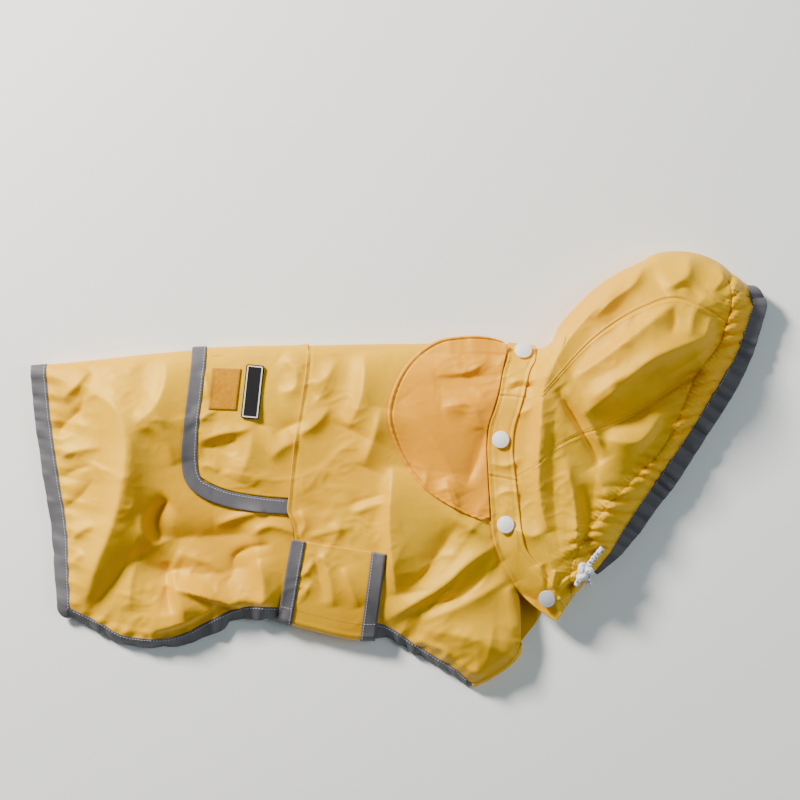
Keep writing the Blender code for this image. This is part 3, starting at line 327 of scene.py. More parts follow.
# Puckers along the hems: height, reach and place along the hem
HEM_PUCKERS = {
    "rear hem": [
        (1.6, 16, 8), (-1.2, 9, 14), (1.8, 22, 22), (-1.4, 12, 28), (1.2, 7, 34), (1.9, 26, 43),
        (-1.5, 18, 50), (1.3, 9, 58), (1.7, 24, 67), (-1.3, 10, 73), (1.4, 14, 81), (-1.7, 22, 89),
        (1.5, 10, 96), (1.8, 20, 107), (-1.4, 12, 114), (1.2, 8, 120), (1.7, 18, 131), (-1.5, 14, 138),
        (1.3, 9, 146), (1.8, 16, 157), (-1.3, 10, 164), (1.6, 12, 173), (-1.2, 9, 181), (1.4, 10, 189),
    ],
    "flank hem": [
        (1.6, 8, 12), (-1.4, 7, 19), (2.0, 12, 27), (-1.8, 9, 34), (1.6, 8, 41), (2.2, 13, 50),
        (-1.8, 8, 57), (1.4, 7, 64), (2.0, 10, 74), (-1.5, 9, 83), (1.2, 8, 96), (1.6, 12, 108),
        (-1.2, 8, 118), (1.5, 14, 130), (-1.3, 9, 141), (1.6, 12, 152), (-1.2, 8, 160), (1.4, 10, 170),
    ],
    "leg hem": [
        (1.6, 12, 9), (-1.4, 8, 16), (1.9, 14, 24), (-1.6, 9, 31), (1.4, 8, 38), (2.0, 12, 48),
        (-1.6, 8, 56), (1.5, 9, 63), (1.7, 12, 73), (-1.3, 8, 82),
    ],
}

# The line that the channel's gathers fan out from, low to high
GATHERS = [
    (138.4, -102.2), (136.5, -90), (137.5, -76), (148, -52), (163, -31), (187, -6), (205, 12), (219, 34),
    (228, 56), (238.2, 79.0), (254.5, 99), (261.4, 117.2), (266, 138), (266, 150),
]


def within(x):
    """x, kept from 0 to 1."""
    return np.clip(x, 0, 1)


def bell(d, width):
    """1 at d 0, falling to nothing on both sides."""
    return np.exp(-(d / width) ** 2)


def stations(*legs):
    """Shares along a piece, leg after leg: start, end and count of each. Where two legs meet is kept once."""
    return np.concatenate([np.linspace(*leg)[min(k, 1):] for k, leg in enumerate(legs)])


def through(rows, t):
    """Points at t, 0 to 1 along the plan's length, on a smooth curve that keeps near the rows."""
    p = np.array(rows, float)
    k = travelled(p[:, :2])
    k /= k[-1]
    curve, i = curve_at(p, k, within(np.asarray(t, float)))
    return np.clip(curve, np.minimum(p[i], p[i + 1]) - 2.0, np.maximum(p[i], p[i + 1]) + 2.0)


def to_line(x, y, points):
    """Distance to a line of points, how far along it, and the side: 1 on its left, -1 on its right."""
    near, along, side, start = np.full(x.shape, 1e3), np.zeros(x.shape), np.ones(x.shape), 0.0
    for (x0, y0), (x1, y1) in zip(points, points[1:]):
        dx, dy = x1 - x0, y1 - y0
        t = within(((x - x0) * dx + (y - y0) * dy) / (dx * dx + dy * dy))
        d = np.hypot(x - x0 - t * dx, y - y0 - t * dy)
        along = np.where(d < near, start + t * np.hypot(dx, dy), along)
        side = np.where(d < near, np.sign(dx * (y - y0) - dy * (x - x0)), side)
        near = np.minimum(near, d)
        start += np.hypot(dx, dy)
    return near, along, side


def folded(x, y, h, left, right, points):
    """A ridge or trough with a firm crest, that fades at its two ends."""
    line = through(points, np.linspace(0, 1, 5 * len(points) - 4))
    reach = 3 * max(left, right)
    z, (low, high) = np.zeros(x.shape), (line.min(0) - reach, line.max(0) + reach)
    here = (x > low[0]) & (x < high[0]) & (y > low[1]) & (y < high[1])
    if here.any():
        d, along, side = to_line(x[here], y[here], line)
        fade = 1 - np.abs(2 * along / travelled(line)[-1] - 1) ** 3
        z[here] = h * fade * np.exp(-(d / np.where(side > 0, left, right)) ** 1.25)
    return z


def wrinkles(x, y, size, stretch, turn, seed):
    """Uneven ridges, 0 to 1, longer than they are wide."""
    a = np.radians(turn)
    p = ((x * np.cos(a) + y * np.sin(a)) / (size * stretch)).ravel()
    q = ((y * np.cos(a) - x * np.sin(a)) / size).ravel()
    n = np.array([noise.noise((i, j, seed)) for i, j in zip(p, q)]).reshape(np.shape(x))
    return within(1 - np.abs(n) / 0.34) ** 1.4


def gathered(x, y):
    """The gathers on both sides of the line where the channel is drawn in, and the fine puckers at it."""
    d, along, side = to_line(x, y, GATHERS)
    turn = 0.56 * along + 0.38 * d * side + 1.5 * np.sin(along / 10.0)
    wave = (2 * np.abs(np.sin(turn / 2)) ** 0.8 - 1) * (0.75 + 0.4 * np.sin(along / 6.3))
    high, reach = np.where(side < 0, 2.9, 1.9), np.where(side < 0, 24.0, 8.0)
    return high * wave * np.exp(-(d / reach) ** 1.5) + 0.5 * np.sin(along * 1.9) * np.exp(-d / 9)


def top_of(x):
    """Where the top fold is at x."""
    rows = np.array(TOP_FOLD)
    return np.interp(x, rows[:, 0], rows[:, 1])


def height(x, y):
    """Middle of the upper layer above the floor, at any place of the coat."""
    x, y = np.broadcast_arrays(np.asarray(x, float), np.asarray(y, float))
    weight, level, near, pucker = 0, 0, np.full(x.shape, 1e3), 0
    for name, h, points in EDGES:
        d, along, _ = to_line(x, y, points)
        w = 1 / (d + 2) ** 2
        weight, level, near = weight + w, level + w * h, np.minimum(near, d)
        for size, reach, at in HEM_PUCKERS.get(name, []):
            shape = np.exp(-np.abs((along - at - 0.35 * d) / 3.2) ** 1.4) * np.exp(-(d / reach) ** 1.5)
            pucker = pucker + size * np.clip(d / 4, 0.3, 1) * shape
    level = level / weight
    lofts = np.array(LOFTS).T
    loft, reach = np.interp(x, lofts[0], lofts[1]), np.interp(x, lofts[0], lofts[2])
    z = level + (loft - level) * (1 - (1 - within(near / reach)) ** 2)
    calm = within(near / CALM)
    for row in FOLDS:
        gain = NARROW_GAIN + WIDE_GAIN * min(1, max(0, (max(row[1:3]) - 5) / 7))
        z = z + gain * calm * folded(x, y, *row)
    patches = np.clip(1.6 * wrinkles(x, y, 70, 1.3, 40, 21.3) - 0.3, 0.15, 1)
    z = z + calm * patches * sum(high * wrinkles(x, y, *row) for high, *row in WRINKLES)
    return z + gathered(x, y) + pucker


def raised(plan, z):
    """Points of the plan at the height z."""
    return np.concatenate([plan, np.broadcast_to(z, plan.shape[:-1])[..., None]], -1)


def on_top(plan, over=0.0):
    """Points of the plan on the upper layer."""
    return raised(plan, height(plan[..., 0], plan[..., 1]) + over)


def arc(low, high, a):
    """Height on a half round from low to high, at the angle a from its middle."""
    return (high + low) / 2 + (high - low) / 2 * np.sin(a)


def lifted(x, s):
    """Lift of the lower layer above the pocket flap and the neck band that pass beneath it."""
    def inside(v, lo, hi):
        return within((v - lo) / 9 + 1) * within((hi - v) / 9 + 1)
    return UNDER * np.maximum(*(inside(x, *row[:2]) * inside(s, *row[2:]) for row in UNDER_IT))


def lay(x, s, over=0.0, half=WALL / 2):
    """Body cloth at distance s from the top fold: s > 0 on the upper layer, s < 0 below."""
    x, s = np.broadcast_arrays(np.asarray(x, float), np.asarray(s, float))
    top = top_of(x)
    low = np.maximum(0.7 + lifted(x, np.minimum(s, -FOLD)) - over, half)
    a = np.clip(s / FOLD, -1, 1) * np.pi / 2
    high = height(x, top - FOLD * (1 - np.cos(np.maximum(a, 0)))) + over
    y = np.where(np.abs(s) >= FOLD, top - np.abs(s), top - FOLD * (1 - np.cos(a)) + over * np.cos(a))
    z = np.where(s >= FOLD, height(x, top - s) + over, arc(low, high, a))
    return np.stack([x, y, np.where(s <= -FOLD, low, z)], -1)


def coons(left, right, bottom, top, u, v):
    """Plan point at u across and v up inside four curves; bottom and top run left to right."""
    b, t, l, r = (through(rows, at)[..., :2] for rows, at in ((bottom, u), (top, u), (left, v), (right, v)))
    u, v = u[..., None], v[..., None]
    c = [np.array(q[:2], float) for q in (bottom[0], bottom[-1], top[0], top[-1])]
    return ((1 - v) * b + v * t + (1 - u) * l + u * r
            - ((1 - u) * (1 - v) * c[0] + u * (1 - v) * c[1] + (1 - u) * v * c[2] + u * v * c[3]))


def from_fold(v):
    """Distance from the fold at v 1 to 2: above it first, and less than nothing below it."""
    return FOLD * (3 - 2 * np.clip(v, 1, 2))


def by_leg(v, near, turn, low):
    """Cloth that goes round a fold: v 0 to 1 on top, 1 to 2 round the fold, 2 to 3 along the floor."""
    v = v[:, None]
    return np.where(v <= 1, near, np.where(v <= 2, turn, low))


def body_place(left, right, bottom, far, rise=None, over=0.0):
    """Upper layer inside four curves, round the top fold, and back along the floor to the far line."""
    xs = np.linspace(left[-1][0], right[-1][0], 6)
    top = np.stack([xs, top_of(xs) - FOLD], -1)

    def place(u, v):
        near = on_top(coons(left, right, bottom, top, u, np.minimum(v, 1)), over)
        start, end = through(top, u)[:, 0], through(far, u)
        turn = lay(start, from_fold(v), over)
        if rise:
            near[:, 2] += rise(near[:, 1], u)
            turn[:, 2] += rise(turn[:, 1], u) * (2 - np.clip(v, 1, 2))
        f, edge = within(v - 2), top_of(start) - FOLD
        x, y = start + (end[:, 0] - start) * f, edge + (end[:, 1] - edge) * f
        low = lay(x, -np.maximum(top_of(x) - y, FOLD), over)
        low[:, 1] = y
        return by_leg(v, near, turn, low)
    return place


def nylon(name, color, deep):
    """Coated plain-weave nylon: fine weave, small crackle of the coating, uneven tone."""
    finish, node, feed = new_finish(name, color, 0.42, Specular_IOR_Level=0.5,
                                    Specular_Tint=(1.0, 0.86, 0.35, 1))
    tone = node("TexNoise", "Object", Scale=9.0, Detail=3.0)
    feed("Base Color", node("ValToRGB", tone, tones=[(0.35, deep), (0.62, color)]))
    gloss = node("TexNoise", "Object", Scale=120.0, Detail=4.0)
    feed("Roughness", node("MapRange", gloss, From_Min=0.3, From_Max=0.7, To_Min=0.36, To_Max=0.5))
    warp, weft = (node("TexWave", "UV", Scale=900.0, bands_direction=axis) for axis in "XY")
    weave = node("Bump", Height=node("Math", warp, weft), Strength=0.25, Distance=0.00008)
    crackle = node("TexNoise", "Object", Scale=75.0, Detail=3.0, Distortion=1.2,
                   noise_type="RIDGED_MULTIFRACTAL")
    feed("Normal", node("Bump", Height=crackle, Normal=weave, Strength=0.3, Distance=0.0008))
    return finish


yellow = nylon("yellow_nylon", (0.86, 0.46, 0.0), (0.84, 0.40, 0.0))


def dress(piece, slot, *solids):
    """The piece rides with the coat and stands for its CAD solids, which are hidden. Its slot is not used."""
    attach(piece, "root")
    if solids:
        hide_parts(*solids)
    return piece


def cloth(name, us, vs, place, solid, slot="yellow_nylon", finish=yellow, wall=WALL):
    """A sheet laid out by place(u, v), with its thickness applied, in the place of its CAD solid.
    us and vs are shares of it, or how many even ones."""
    us, vs = (np.linspace(0, 1, k) if isinstance(k, int) else k for k in (us, vs))
    v, u = np.meshgrid(vs, us, indexing="ij")
    points = place(u.ravel(), v.ravel()).reshape(len(vs), len(us), 3)
    piece = grid_piece(name, points, finish)
    bpy.ops.object.modifier_add(type="SOLIDIFY")
    piece.modifiers[-1].thickness = wall * MM
    piece.modifiers[-1].offset = 0
    bpy.ops.object.modifier_apply(modifier=piece.modifiers[-1].name)
    return dress(piece, slot, solid)


REAR = [(-264, -112), (-264.8, -88.8), (-266.4, -49.6), (-273.6, -4.8), (-280, 40), (-283.6, 75)]
SADDLE = [
    (-79.2, -115), (-81.6, -60.8), (-84, -43.2), (-88, -33.6), (-87.2, -22.4), (-84, 8.8), (-81.6, 28),
    (-77.6, 52), (-73.6, 79.2), (-72.8, 92),
]
FLANK = [
    (-264, -112), (-238.4, -124.8), (-222.4, -134), (-204, -137), (-180.8, -136), (-166.4, -131),
    (-157.6, -126.4), (-140, -117.6), (-124, -111.5), (-95.2, -112), (-79.2, -115),
]
FAR_REAR = [(-262, -86), (-204, -88), (-134, -46), (-97, -26), (-80, -17)]
rear = body_place(REAR, SADDLE, FLANK, FAR_REAR)
back = cloth("back_panel", 134, stations((0, 1, 150), (1, 2, 14), (2, 3, 34)), rear, "body_rear")

# ---------------- shoulder panel
# The same nylon, from the saddle seam to the neck. Its seam edge is turned under and lies up on the
# flap's end.
NECK = [
    (98.2, -139), (98, -121.6), (96, -99.2), (91.5, -88), (85, -62), (81, -28), (79.5, 0), (80, 25),
    (85, 45), (91, 70), (97, 91.4),
]
LEG = [
    (-79.2, -115), (-42, -122), (-8, -127.2), (10.4, -139.2), (23.2, -147.2), (45.6, -160.8),
    (59.5, -171.0), (74.5, -165.8), (91.0, -153.2), (98.2, -139),
]
FAR_FRONT = [
    (-80, -17), (-42, -6), (-8, 5.6), (26, -7), (50, -27), (61, -56), (68, -76), (90, -80), (111, -80),
]
FRONT_WIDE = 180                         # from the saddle seam to the neck
THREAD_SLOTS = {"yellow_thread": "yellow_nylon", "pale_thread": "grey_binding"}


def front_rise(y, u):
    """The seam edge lies up on the pocket flap's end, and stands a little proud below it."""
    edge = u * FRONT_WIDE
    return 2.0 * bell(edge, 22) * within((y + 50) / 12) + 0.9 * bell(edge, 1.6) - 0.35 * bell(edge - 3.6, 1.2)


def grained(name, color, roughness, scale, detail, strength, **shine):
    """One colour, with a fine uneven surface."""
    finish, node, feed = new_finish(name, color, roughness, **shine)
    grain = node("TexNoise", "Object", Scale=scale, Detail=detail)
    feed("Normal", node("Bump", Height=grain, Strength=strength, Distance=0.0001))
    return finish


yellow_thread = grained("yellow_thread", (0.46, 0.27, 0.01), 0.7, 1500.0, 1.0, 0.4)
pale_thread = grained("pale_thread", (0.62, 0.58, 0.70), 0.6, 1500.0, 1.0, 0.4)


def sew(name, place, us, vs, out=0.3, thread=yellow_thread, length=1.8, pitch=2.5, radius=0.22):
    """A row of stitches along place(u, v), out above its middle: one small stitch, copied."""
    us, vs = np.broadcast_arrays(np.asarray(us, float), np.asarray(vs, float))
    line = place(us, vs)
    step = 0.004
    away = unit(np.cross(place(us + step, vs) - place(us - step, vs),
                         place(us, vs + step) - place(us, vs - step)))
    for k in range(1, len(away)):
        if away[k] @ away[k - 1] < 0:
            away[k] *= -1
    if away[np.argmax(line[:, 2]), 2] < 0:
        away *= -1
    far = travelled(line)

    def at_far(values, at):
        return np.array([np.interp(at, far, values[:, k]) for k in range(3)])

    bpy.ops.object.select_all(action="DESELECT")
    bpy.ops.mesh.primitive_uv_sphere_add(segments=6, ring_count=4, radius=1)
    one = bpy.context.object
    shape = np.array([v.co for v in one.data.vertices]) * (length / 2, radius, radius)
    faces = [list(f.vertices) for f in one.data.polygons]
    bpy.data.objects.remove(one)
    points, polygons = [], []
    for at in np.arange(pitch / 2, far[-1], pitch):
        ahead = unit(at_far(line, at + 0.6) - at_far(line, at - 0.6))
        up = at_far(away, at)
        up = unit(up - (up @ ahead) * ahead)
        polygons += [[i + len(points) * len(shape) for i in f] for f in faces]
        basis = np.stack([ahead, np.cross(up, ahead), up])
        points.append((shape @ basis + at_far(line, at) + up * out + SHIFT) * MM)
    mesh = bpy.data.meshes.new(name)
    mesh.from_pydata(np.concatenate(points).tolist(), [], polygons)
    mesh.materials.append(thread)
    mesh.shade_smooth()
    row = bpy.data.objects.new(name, mesh)
    bpy.context.scene.collection.objects.link(row)
    return dress(row, THREAD_SLOTS[thread.name])


front = body_place(SADDLE, NECK, LEG, FAR_FRONT, front_rise)
shoulder = cloth("shoulder_panel", stations((0, 0.06, 12), (0.06, 1, 124)),
                 stations((0, 1, 160), (1, 2, 14), (2, 3, 34)), front, "body_front")
shoulder_parts = [sew("saddle_seam_stitches", front, 0.014, np.linspace(0.16, 1.9, 300), length=1.7,
                      pitch=2.4, radius=0.24)]

# ---------------- chest piece
# A small cut of the same nylon that closes the shoulder panel under the neck; it turns round the chest fold.
CHEST_FOLD = [(60.8, -176.0, 112), (76, -168, 124), (93, -155.5, 132), (103.2, -142.5, 150)]
CHEST_SEAM = [(69.5, -78.6), (80, -81.4), (95, -81.6), (111, -81.2)]
CHEST_SIDE = [(66, -160), (66.4, -120), (66.4, -100), (69.5, -78.6)]
CHEST_NECK = [(107.5, -136), (114.4, -117.6), (117, -106), (111, -81.2)]
CHEST_TURN = 5.0


def facing(degrees):
    """Unit vectors in the plan."""
    turn = np.radians(degrees)
    return np.stack([np.cos(turn), np.sin(turn)], -1)


def inward(rows, reach):
    """The plan of rows of x, y and inward angle, moved inward."""
    rows = np.array(rows, float)
    return rows[:, :2] + facing(rows[:, 2]) * reach


def chest_place(u, v):
    """v 0 to 1 round the chest fold, 1 to 2 along the floor."""
    row = through(CHEST_FOLD, u)
    high = on_top(inward(row, CHEST_TURN + 0.6), -1.4)[:, 2]
    a = (0.5 - within(v)) * np.pi
    round_off = CHEST_TURN * (1 - 0.85 * within((u - 0.8) / 0.2) ** 2)
    bend = raised(inward(row, (CHEST_TURN - round_off * np.cos(a))[:, None]), arc(WALL / 2, high, a))
    start = inward(CHEST_FOLD, CHEST_TURN)
    flat = coons([start[0]] + CHEST_SIDE[1:], [start[-1]] + CHEST_NECK[1:], start, CHEST_SEAM,
                 u, within(v - 1))
    return np.where(v[:, None] <= 1, bend, raised(flat, WALL / 2))


chest = cloth("chest_piece", 34, stations((0, 1, 16), (1, 2, 50)), chest_place, "chest")

# ---------------- hem bindings
# Grey reflective tape, folded over the raw edge and sewn through with a pale thread near its inner side.
TAPE = 1.6
LAP = 1.6                                # how far the tape reaches in over the cloth's edge
grey, node, feed = new_finish("reflective_tape", (0.108, 0.104, 0.120), 0.55, Specular_IOR_Level=0.3)
ribs = node("TexWave", "UV", Scale=420.0, bands_direction="DIAGONAL")
grains = node("TexNoise", "Object", Scale=900.0, Detail=2.0)
tone = node("TexNoise", "Object", Scale=60.0, Detail=4.0)
feed("Base Color", node("ValToRGB", tone, tones=[(0.3, (0.094, 0.090, 0.104)), (0.7, (0.122, 0.117, 0.134))]))
fine = node("Bump", Height=ribs, Strength=0.4, Distance=0.0001)
feed("Normal", node("Bump", Height=grains, Normal=fine, Strength=0.3, Distance=0.0001))


def edge_tape(rim, widths):
    """A binding along a panel's edge: w 0 to 1 across it, t along it. rim(t) gives points of the edge and
    points just inside it. widths: t, width, drop of the outer side."""
    ts, wides, drops = np.array(widths, float).T

    def place(w, t):
        p, q = rim(t)
        wide, drop = np.interp(t, ts, wides), np.interp(t, ts, drops)
        p = p + unit(p - q) * (-LAP + (wide + LAP) * w)[:, None]
        p[:, 2] = np.maximum(p[:, 2] - drop * within(w) ** 1.5, TAPE / 2)
        return p
    return place


def tape_stitches(name, place, us, vs):
    """Pale stitches on the tape's upper face."""
    return sew(name, place, us, vs, TAPE / 2, pale_thread, radius=0.24)


def bind(name, solid, place, rows, across=None, sewn=None):
    """The tape of one edge, and where it shows, its stitches: their share across it, start, end, count."""
    tape = cloth(name + "_tape", 7, rows, place, solid, "grey_binding", grey, TAPE)
    bpy.ops.object.modifier_add(type="BEVEL")
    tape.modifiers[-1].width = 0.0004
    tape.modifiers[-1].segments = 2
    tape.modifiers[-1].angle_limit = 1.0
    bpy.ops.object.modifier_apply(modifier=tape.modifiers[-1].name)
    tape.data.shade_smooth()
    if sewn:
        return [tape, tape_stitches(name + "_stitches", place, across, np.linspace(*sewn))]
    return [tape]


def share(rows, x):
    """How far along a curve it reaches x."""
    t = np.linspace(0, 1, 400)
    return float(np.interp(x, through(rows, t)[:, 0], t))


def turning(p, a, b, f):
    """Points just inside p, as the outward direction turns from a to b."""
    a, b = unit(a), unit(b)
    return p - (a + (b - a) * f[:, None])


def long_rim(panel, v, inside):
    """A panel's edge along its u, at v, and the line just inside it."""
    return lambda t: (panel(t, 0 * t + v), panel(t, 0 * t + inside))


def rear_rim(t):
    """t -1 to 0 turns the near corner, 0 to 3 follows the panel's edge, 3 to 4 turns the far corner."""
    v, zero = np.clip(t, 0, 3), np.zeros(len(t))
    p, q = rear(zero, v), rear(zero + 0.03, v)
    low = np.where(t[:, None] < 0, p - rear(zero, zero + 0.04), np.array([0, -1.0, 0]))
    return p, turning(p, (p - q) * [1, 1, 0.5], low, np.where(t < 0, -t, within(t - 3)))


rear_tape = edge_tape(rear_rim, [
    (-1, 7.4, 4), (0, 10.4, 2.5), (0.12, 12, 2.5), (0.3, 13.2, 2.5), (0.5, 12.2, 2.5), (0.75, 11.4, 2),
    (0.95, 11, 1), (1, 11, 0), (4, 11, 0)])
back_parts = bind("rear_hem", "rear_hem_binding", rear_tape,
                  stations((-1, 0, 12), (0, 1, 130), (1, 2, 16), (2, 3, 60), (3, 4, 9)), 0.14, (-0.9, 2, 400))
flank_end = share(FLANK, -96.5)
flank_tape = edge_tape(long_rim(rear, 0, 0.04), [
    (0, 7.4, 4), (0.12, 7.2, 7), (0.3, 6.6, 8), (0.42, 8, 7), (0.55, 11.5, 3), (0.7, 12, 1),
    (0.85, 12.5, 1), (0.92, 9.5, 3)])
back_parts += bind("flank_hem", "flank_binding_near", flank_tape, stations((0, flank_end, 120)),
                   0.16, (0.02, flank_end, 200))
far_flank = edge_tape(long_rim(rear, 3, 2.95), [(0, 11, 0), (1, 11, 0)])
back_parts += bind("far_flank", "flank_binding_far", far_flank, stations((0, share(FAR_REAR, -98), 80)))

leg_start, leg_end = share(LEG, -19), share(LEG, 55.5)
leg_tape = edge_tape(long_rim(front, 0, 0.03), [
    (0.22, 12, 3), (0.3, 12, 4), (0.38, 10.5, 5), (0.45, 9, 6), (0.55, 8.6, 4.5), (0.7, 7.4, 4.5)])
shoulder_parts += bind("leg_hem", "leg_binding_near", leg_tape, stations((leg_start, leg_end, 60)),
                       0.16, (leg_start, leg_end, 100))
back_start, back_end = share(FAR_FRONT, -9), share(FAR_FRONT, 67)


def leg_rim(t):
    """t 0 to 1 along the front panel's far edge, 1 to 2 along the side of the chest piece."""
    u = back_start + (back_end - back_start) * within(t)
    v = 2 - 0.93 * within(t - 1)
    zero = np.zeros(len(t))
    ends = long_rim(front, 3, 2.93)(u), (chest_place(zero, v), chest_place(zero + 0.08, v))
    f = within((t - 0.93) / 0.14)[:, None]
    return tuple(a + (b - a) * f for a, b in zip(*ends))


far_leg = edge_tape(leg_rim, [(0, 11, 0), (0.95, 10.5, 0), (2, 10, 0)])
shoulder_parts += bind("far_leg", "leg_binding_far", far_leg, stations((0, 2, 110)))

# ---------------- pocket flap
# A flap over the saddle seam, of the same nylon, bound on three sides with the grey tape. It lies on the
# back and turns with it round the top fold.
FLAP_LEFT = [(-161.2, 10.4), (-160, 32), (-156.2, 67), (-154.2, 90)]
FLAP_RIGHT = [
    (-86.4, -23.2), (-85.9, -18), (-82.7, 8.8), (-80.2, 28), (-76.2, 52), (-72.2, 79.2), (-71.5, 92),
]
FLAP_NEAR = [
    (-161.2, 10.4), (-160.6, 1), (-158, -4.9), (-152.8, -8.8), (-136.8, -16), (-112.8, -20.8),
    (-86.4, -23.2),
]
FLAP_FAR = [(-152, 54), (-149.6, 50), (-143, 50.5), (-113, 64), (-74, 81)]
FLAP_RIM = [
    (-87.2, 121.3, -87.4, 132.9), (-112.8, 118.2, -114.5, 130.3), (-136.8, 112.7, -139.5, 124.7),
    (-150, 106.9, -156, 117.5), (-156, 103.3, -165.6, 109.9), (-158.4, 98, -170.2, 101.5),
    (-159.6, 90, -172, 90), (-158.8, 65, -170.6, 65), (-155.3, 30, -166.8, 30),
    (-153.3, 8, -165, 8), (-153.3, 0, -165, 0), (-153.3, -8, -165, -8),
    (-152.6, -25, -164, -25), (-151.6, -41, -162.8, -44), (-149, -47.0, -157, -55),
    (-143, -47, -143, -58.2), (-113, -35, -110, -46), (-78, -19, -76.4, -29.8),
]
flap_place = body_place(FLAP_LEFT, FLAP_RIGHT, FLAP_NEAR, FLAP_FAR, None, OVER)
flap = cloth("flap_over_pocket", 60, stations((0, 1, 90), (1, 2, 14), (2, 3, 26)), flap_place, "pocket_flap")


def strip(rows, over, half):
    """A strip of cloth between two lines on the body: u along it, v across. Rows: inner x, s, outer x, s,
    where s is the distance from the top fold."""
    rows = np.array(rows, float)
    table = np.concatenate([(rows[:, :2] + rows[:, 2:4]) / 2, rows], 1)

    def place(u, v):
        q = through(table, u)
        p = q[:, 2:4] + (q[:, 4:6] - q[:, 2:4]) * v[:, None]
        return lay(p[:, 0], p[:, 1], over, half)
    return place


rim_place = strip(FLAP_RIM, OVER + 0.5, TAPE / 2)
flap_parts = bind("flap", "pocket_flap_binding", lambda w, t: rim_place(t, w), stations((0, 1, 260)),
                  0.14, (0.01, 0.62, 300))

# ---------------- hook-and-loop patch
# A square of orange loop tape, sewn round its edge on the flap.
loop_tape, node, feed = new_finish("loop_tape", (0.55, 0.225, 0.0), 0.9, Specular_IOR_Level=0.2)
nap = node("TexVoronoi", "Object", Scale=1100.0)
tone = node("TexNoise", "Object", Scale=400.0, Detail=4.0)
feed("Base Color", node("ValToRGB", tone, tones=[(0.3, (0.46, 0.185, 0.0)), (0.7, (0.62, 0.26, 0.0))]))
feed("Normal", node("Bump", Height=nap, Strength=0.45, Distance=0.0003))
PATCH = np.array([(-150.8, 48.0), (-128.8, 47.2), (-125.1, 80.0), (-148.3, 80.8)])
PATCH_THICK = 0.9


def patch_place(u, v):
    a, b, c, d = PATCH
    u, v = u[:, None], v[:, None]
    return on_top((1 - v) * (a + (b - a) * u) + v * (d + (c - d) * u), OVER + PATCH_THICK)


flap_parts.append(cloth("loop_patch", 22, 30, patch_place, "velcro_patch", "velcro_patch", loop_tape,
                        PATCH_THICK))
across, up = np.linspace(0.04, 0.96, 20), np.linspace(0.04, 0.96, 30)
for k, (us, vs) in enumerate([(across, 0.05), (across, 0.95), (0.07, up), (0.93, up)], 1):
    flap_parts.append(sew(f"loop_patch_stitches_{k}", patch_place, us, vs, PATCH_THICK / 2))

# ---------------- label
# A moulded rubber label with a raised cream border, left bare. It is stiff, so it lies plane on the cloth.
black = grained("black_rubber", (0.006, 0.005, 0.007), 0.7, 700.0, 3.0, 0.25, Specular_IOR_Level=0.25)
cream = grained("cream_rubber", (0.78, 0.70, 0.60), 0.6, 700.0, 3.0, 0.25)
LABEL_AT = (-115.7, 61.8)
LABEL_WIDE, LABEL_LONG, LABEL_THICK = 14.2, 43.0, 1.4
LABEL_LEAN = np.radians(-5.6)
LABEL_OVER = OVER + 0.6 + LABEL_THICK / 2        # its middle above the cloth of the flap's layer
LABEL_REST = np.linspace(-19, 19, 9)     # along the label, where it rests on the cloth
BORDER_IN, BORDER_WIDE, BORDER_HIGH = 0.9, 0.9, 0.45
bpy.ops.object.select_all(action="DESELECT")
bpy.ops.mesh.primitive_cube_add(size=1)
label = bpy.context.object
label.name = label.data.name = "rubber_label"
label.scale = (LABEL_WIDE, LABEL_LONG, LABEL_THICK)
bpy.ops.object.transform_apply(location=False, rotation=False, scale=True)
label.data.materials.append(black)
label.data.materials.append(cream)
bpy.ops.object.mode_set(mode="EDIT")
bpy.ops.mesh.select_mode(type="EDGE")
bpy.ops.mesh.select_all(action="DESELECT")
bpy.ops.object.mode_set(mode="OBJECT")
for edge in label.data.edges:
    a, b = (label.data.vertices[i].co for i in edge.vertices)
    edge.select = abs(a.z - b.z) > 0.5
bpy.ops.object.mode_set(mode="EDIT")
bpy.ops.mesh.bevel(offset=1.7, segments=5, affect="EDGES")
bpy.ops.mesh.select_mode(type="FACE")
bpy.ops.mesh.select_all(action="DESELECT")
bpy.ops.object.mode_set(mode="OBJECT")
for face in label.data.polygons:
    face.select = face.normal.z > 0.9
bpy.ops.object.mode_set(mode="EDIT")
bpy.ops.mesh.inset(thickness=BORDER_IN)
bpy.ops.mesh.inset(thickness=BORDER_WIDE)
bpy.ops.mesh.select_all(action="INVERT")
bpy.ops.object.mode_set(mode="OBJECT")
border = BORDER_IN + BORDER_WIDE / 2     # the middle of the border, from the label's edge
for face in label.data.polygons:
    x, y, _ = face.center
    off = max(abs(x) - (LABEL_WIDE / 2 - border), abs(y) - (LABEL_LONG / 2 - border))
    face.select = face.normal.z > 0.9 and abs(off) < 0.42
    face.material_index = 1 if face.select else 0
bpy.ops.object.mode_set(mode="EDIT")
bpy.ops.mesh.extrude_region_move(TRANSFORM_OT_translate={"value": (0, 0, BORDER_HIGH)})
bpy.ops.object.mode_set(mode="OBJECT")
sine, cosine = np.sin(LABEL_LEAN), np.cos(LABEL_LEAN)
levels = height(LABEL_AT[0] - sine * LABEL_REST, LABEL_AT[1] + cosine * LABEL_REST) + LABEL_OVER
slope, level = np.polyfit(LABEL_REST, levels, 1)
for vertex in label.data.vertices:
    x, y, z = vertex.co
    vertex.co = ((LABEL_AT[0] + x * cosine - y * sine + SHIFT[0]) * MM,
                 (LABEL_AT[1] + x * sine + y * cosine + SHIFT[1]) * MM,
                 (z + level + slope * y) * MM)
label.data.shade_smooth()
bpy.ops.object.shade_smooth_by_angle(angle=0.6)
flap_parts.append(dress(label, "label_rubber", "label"))

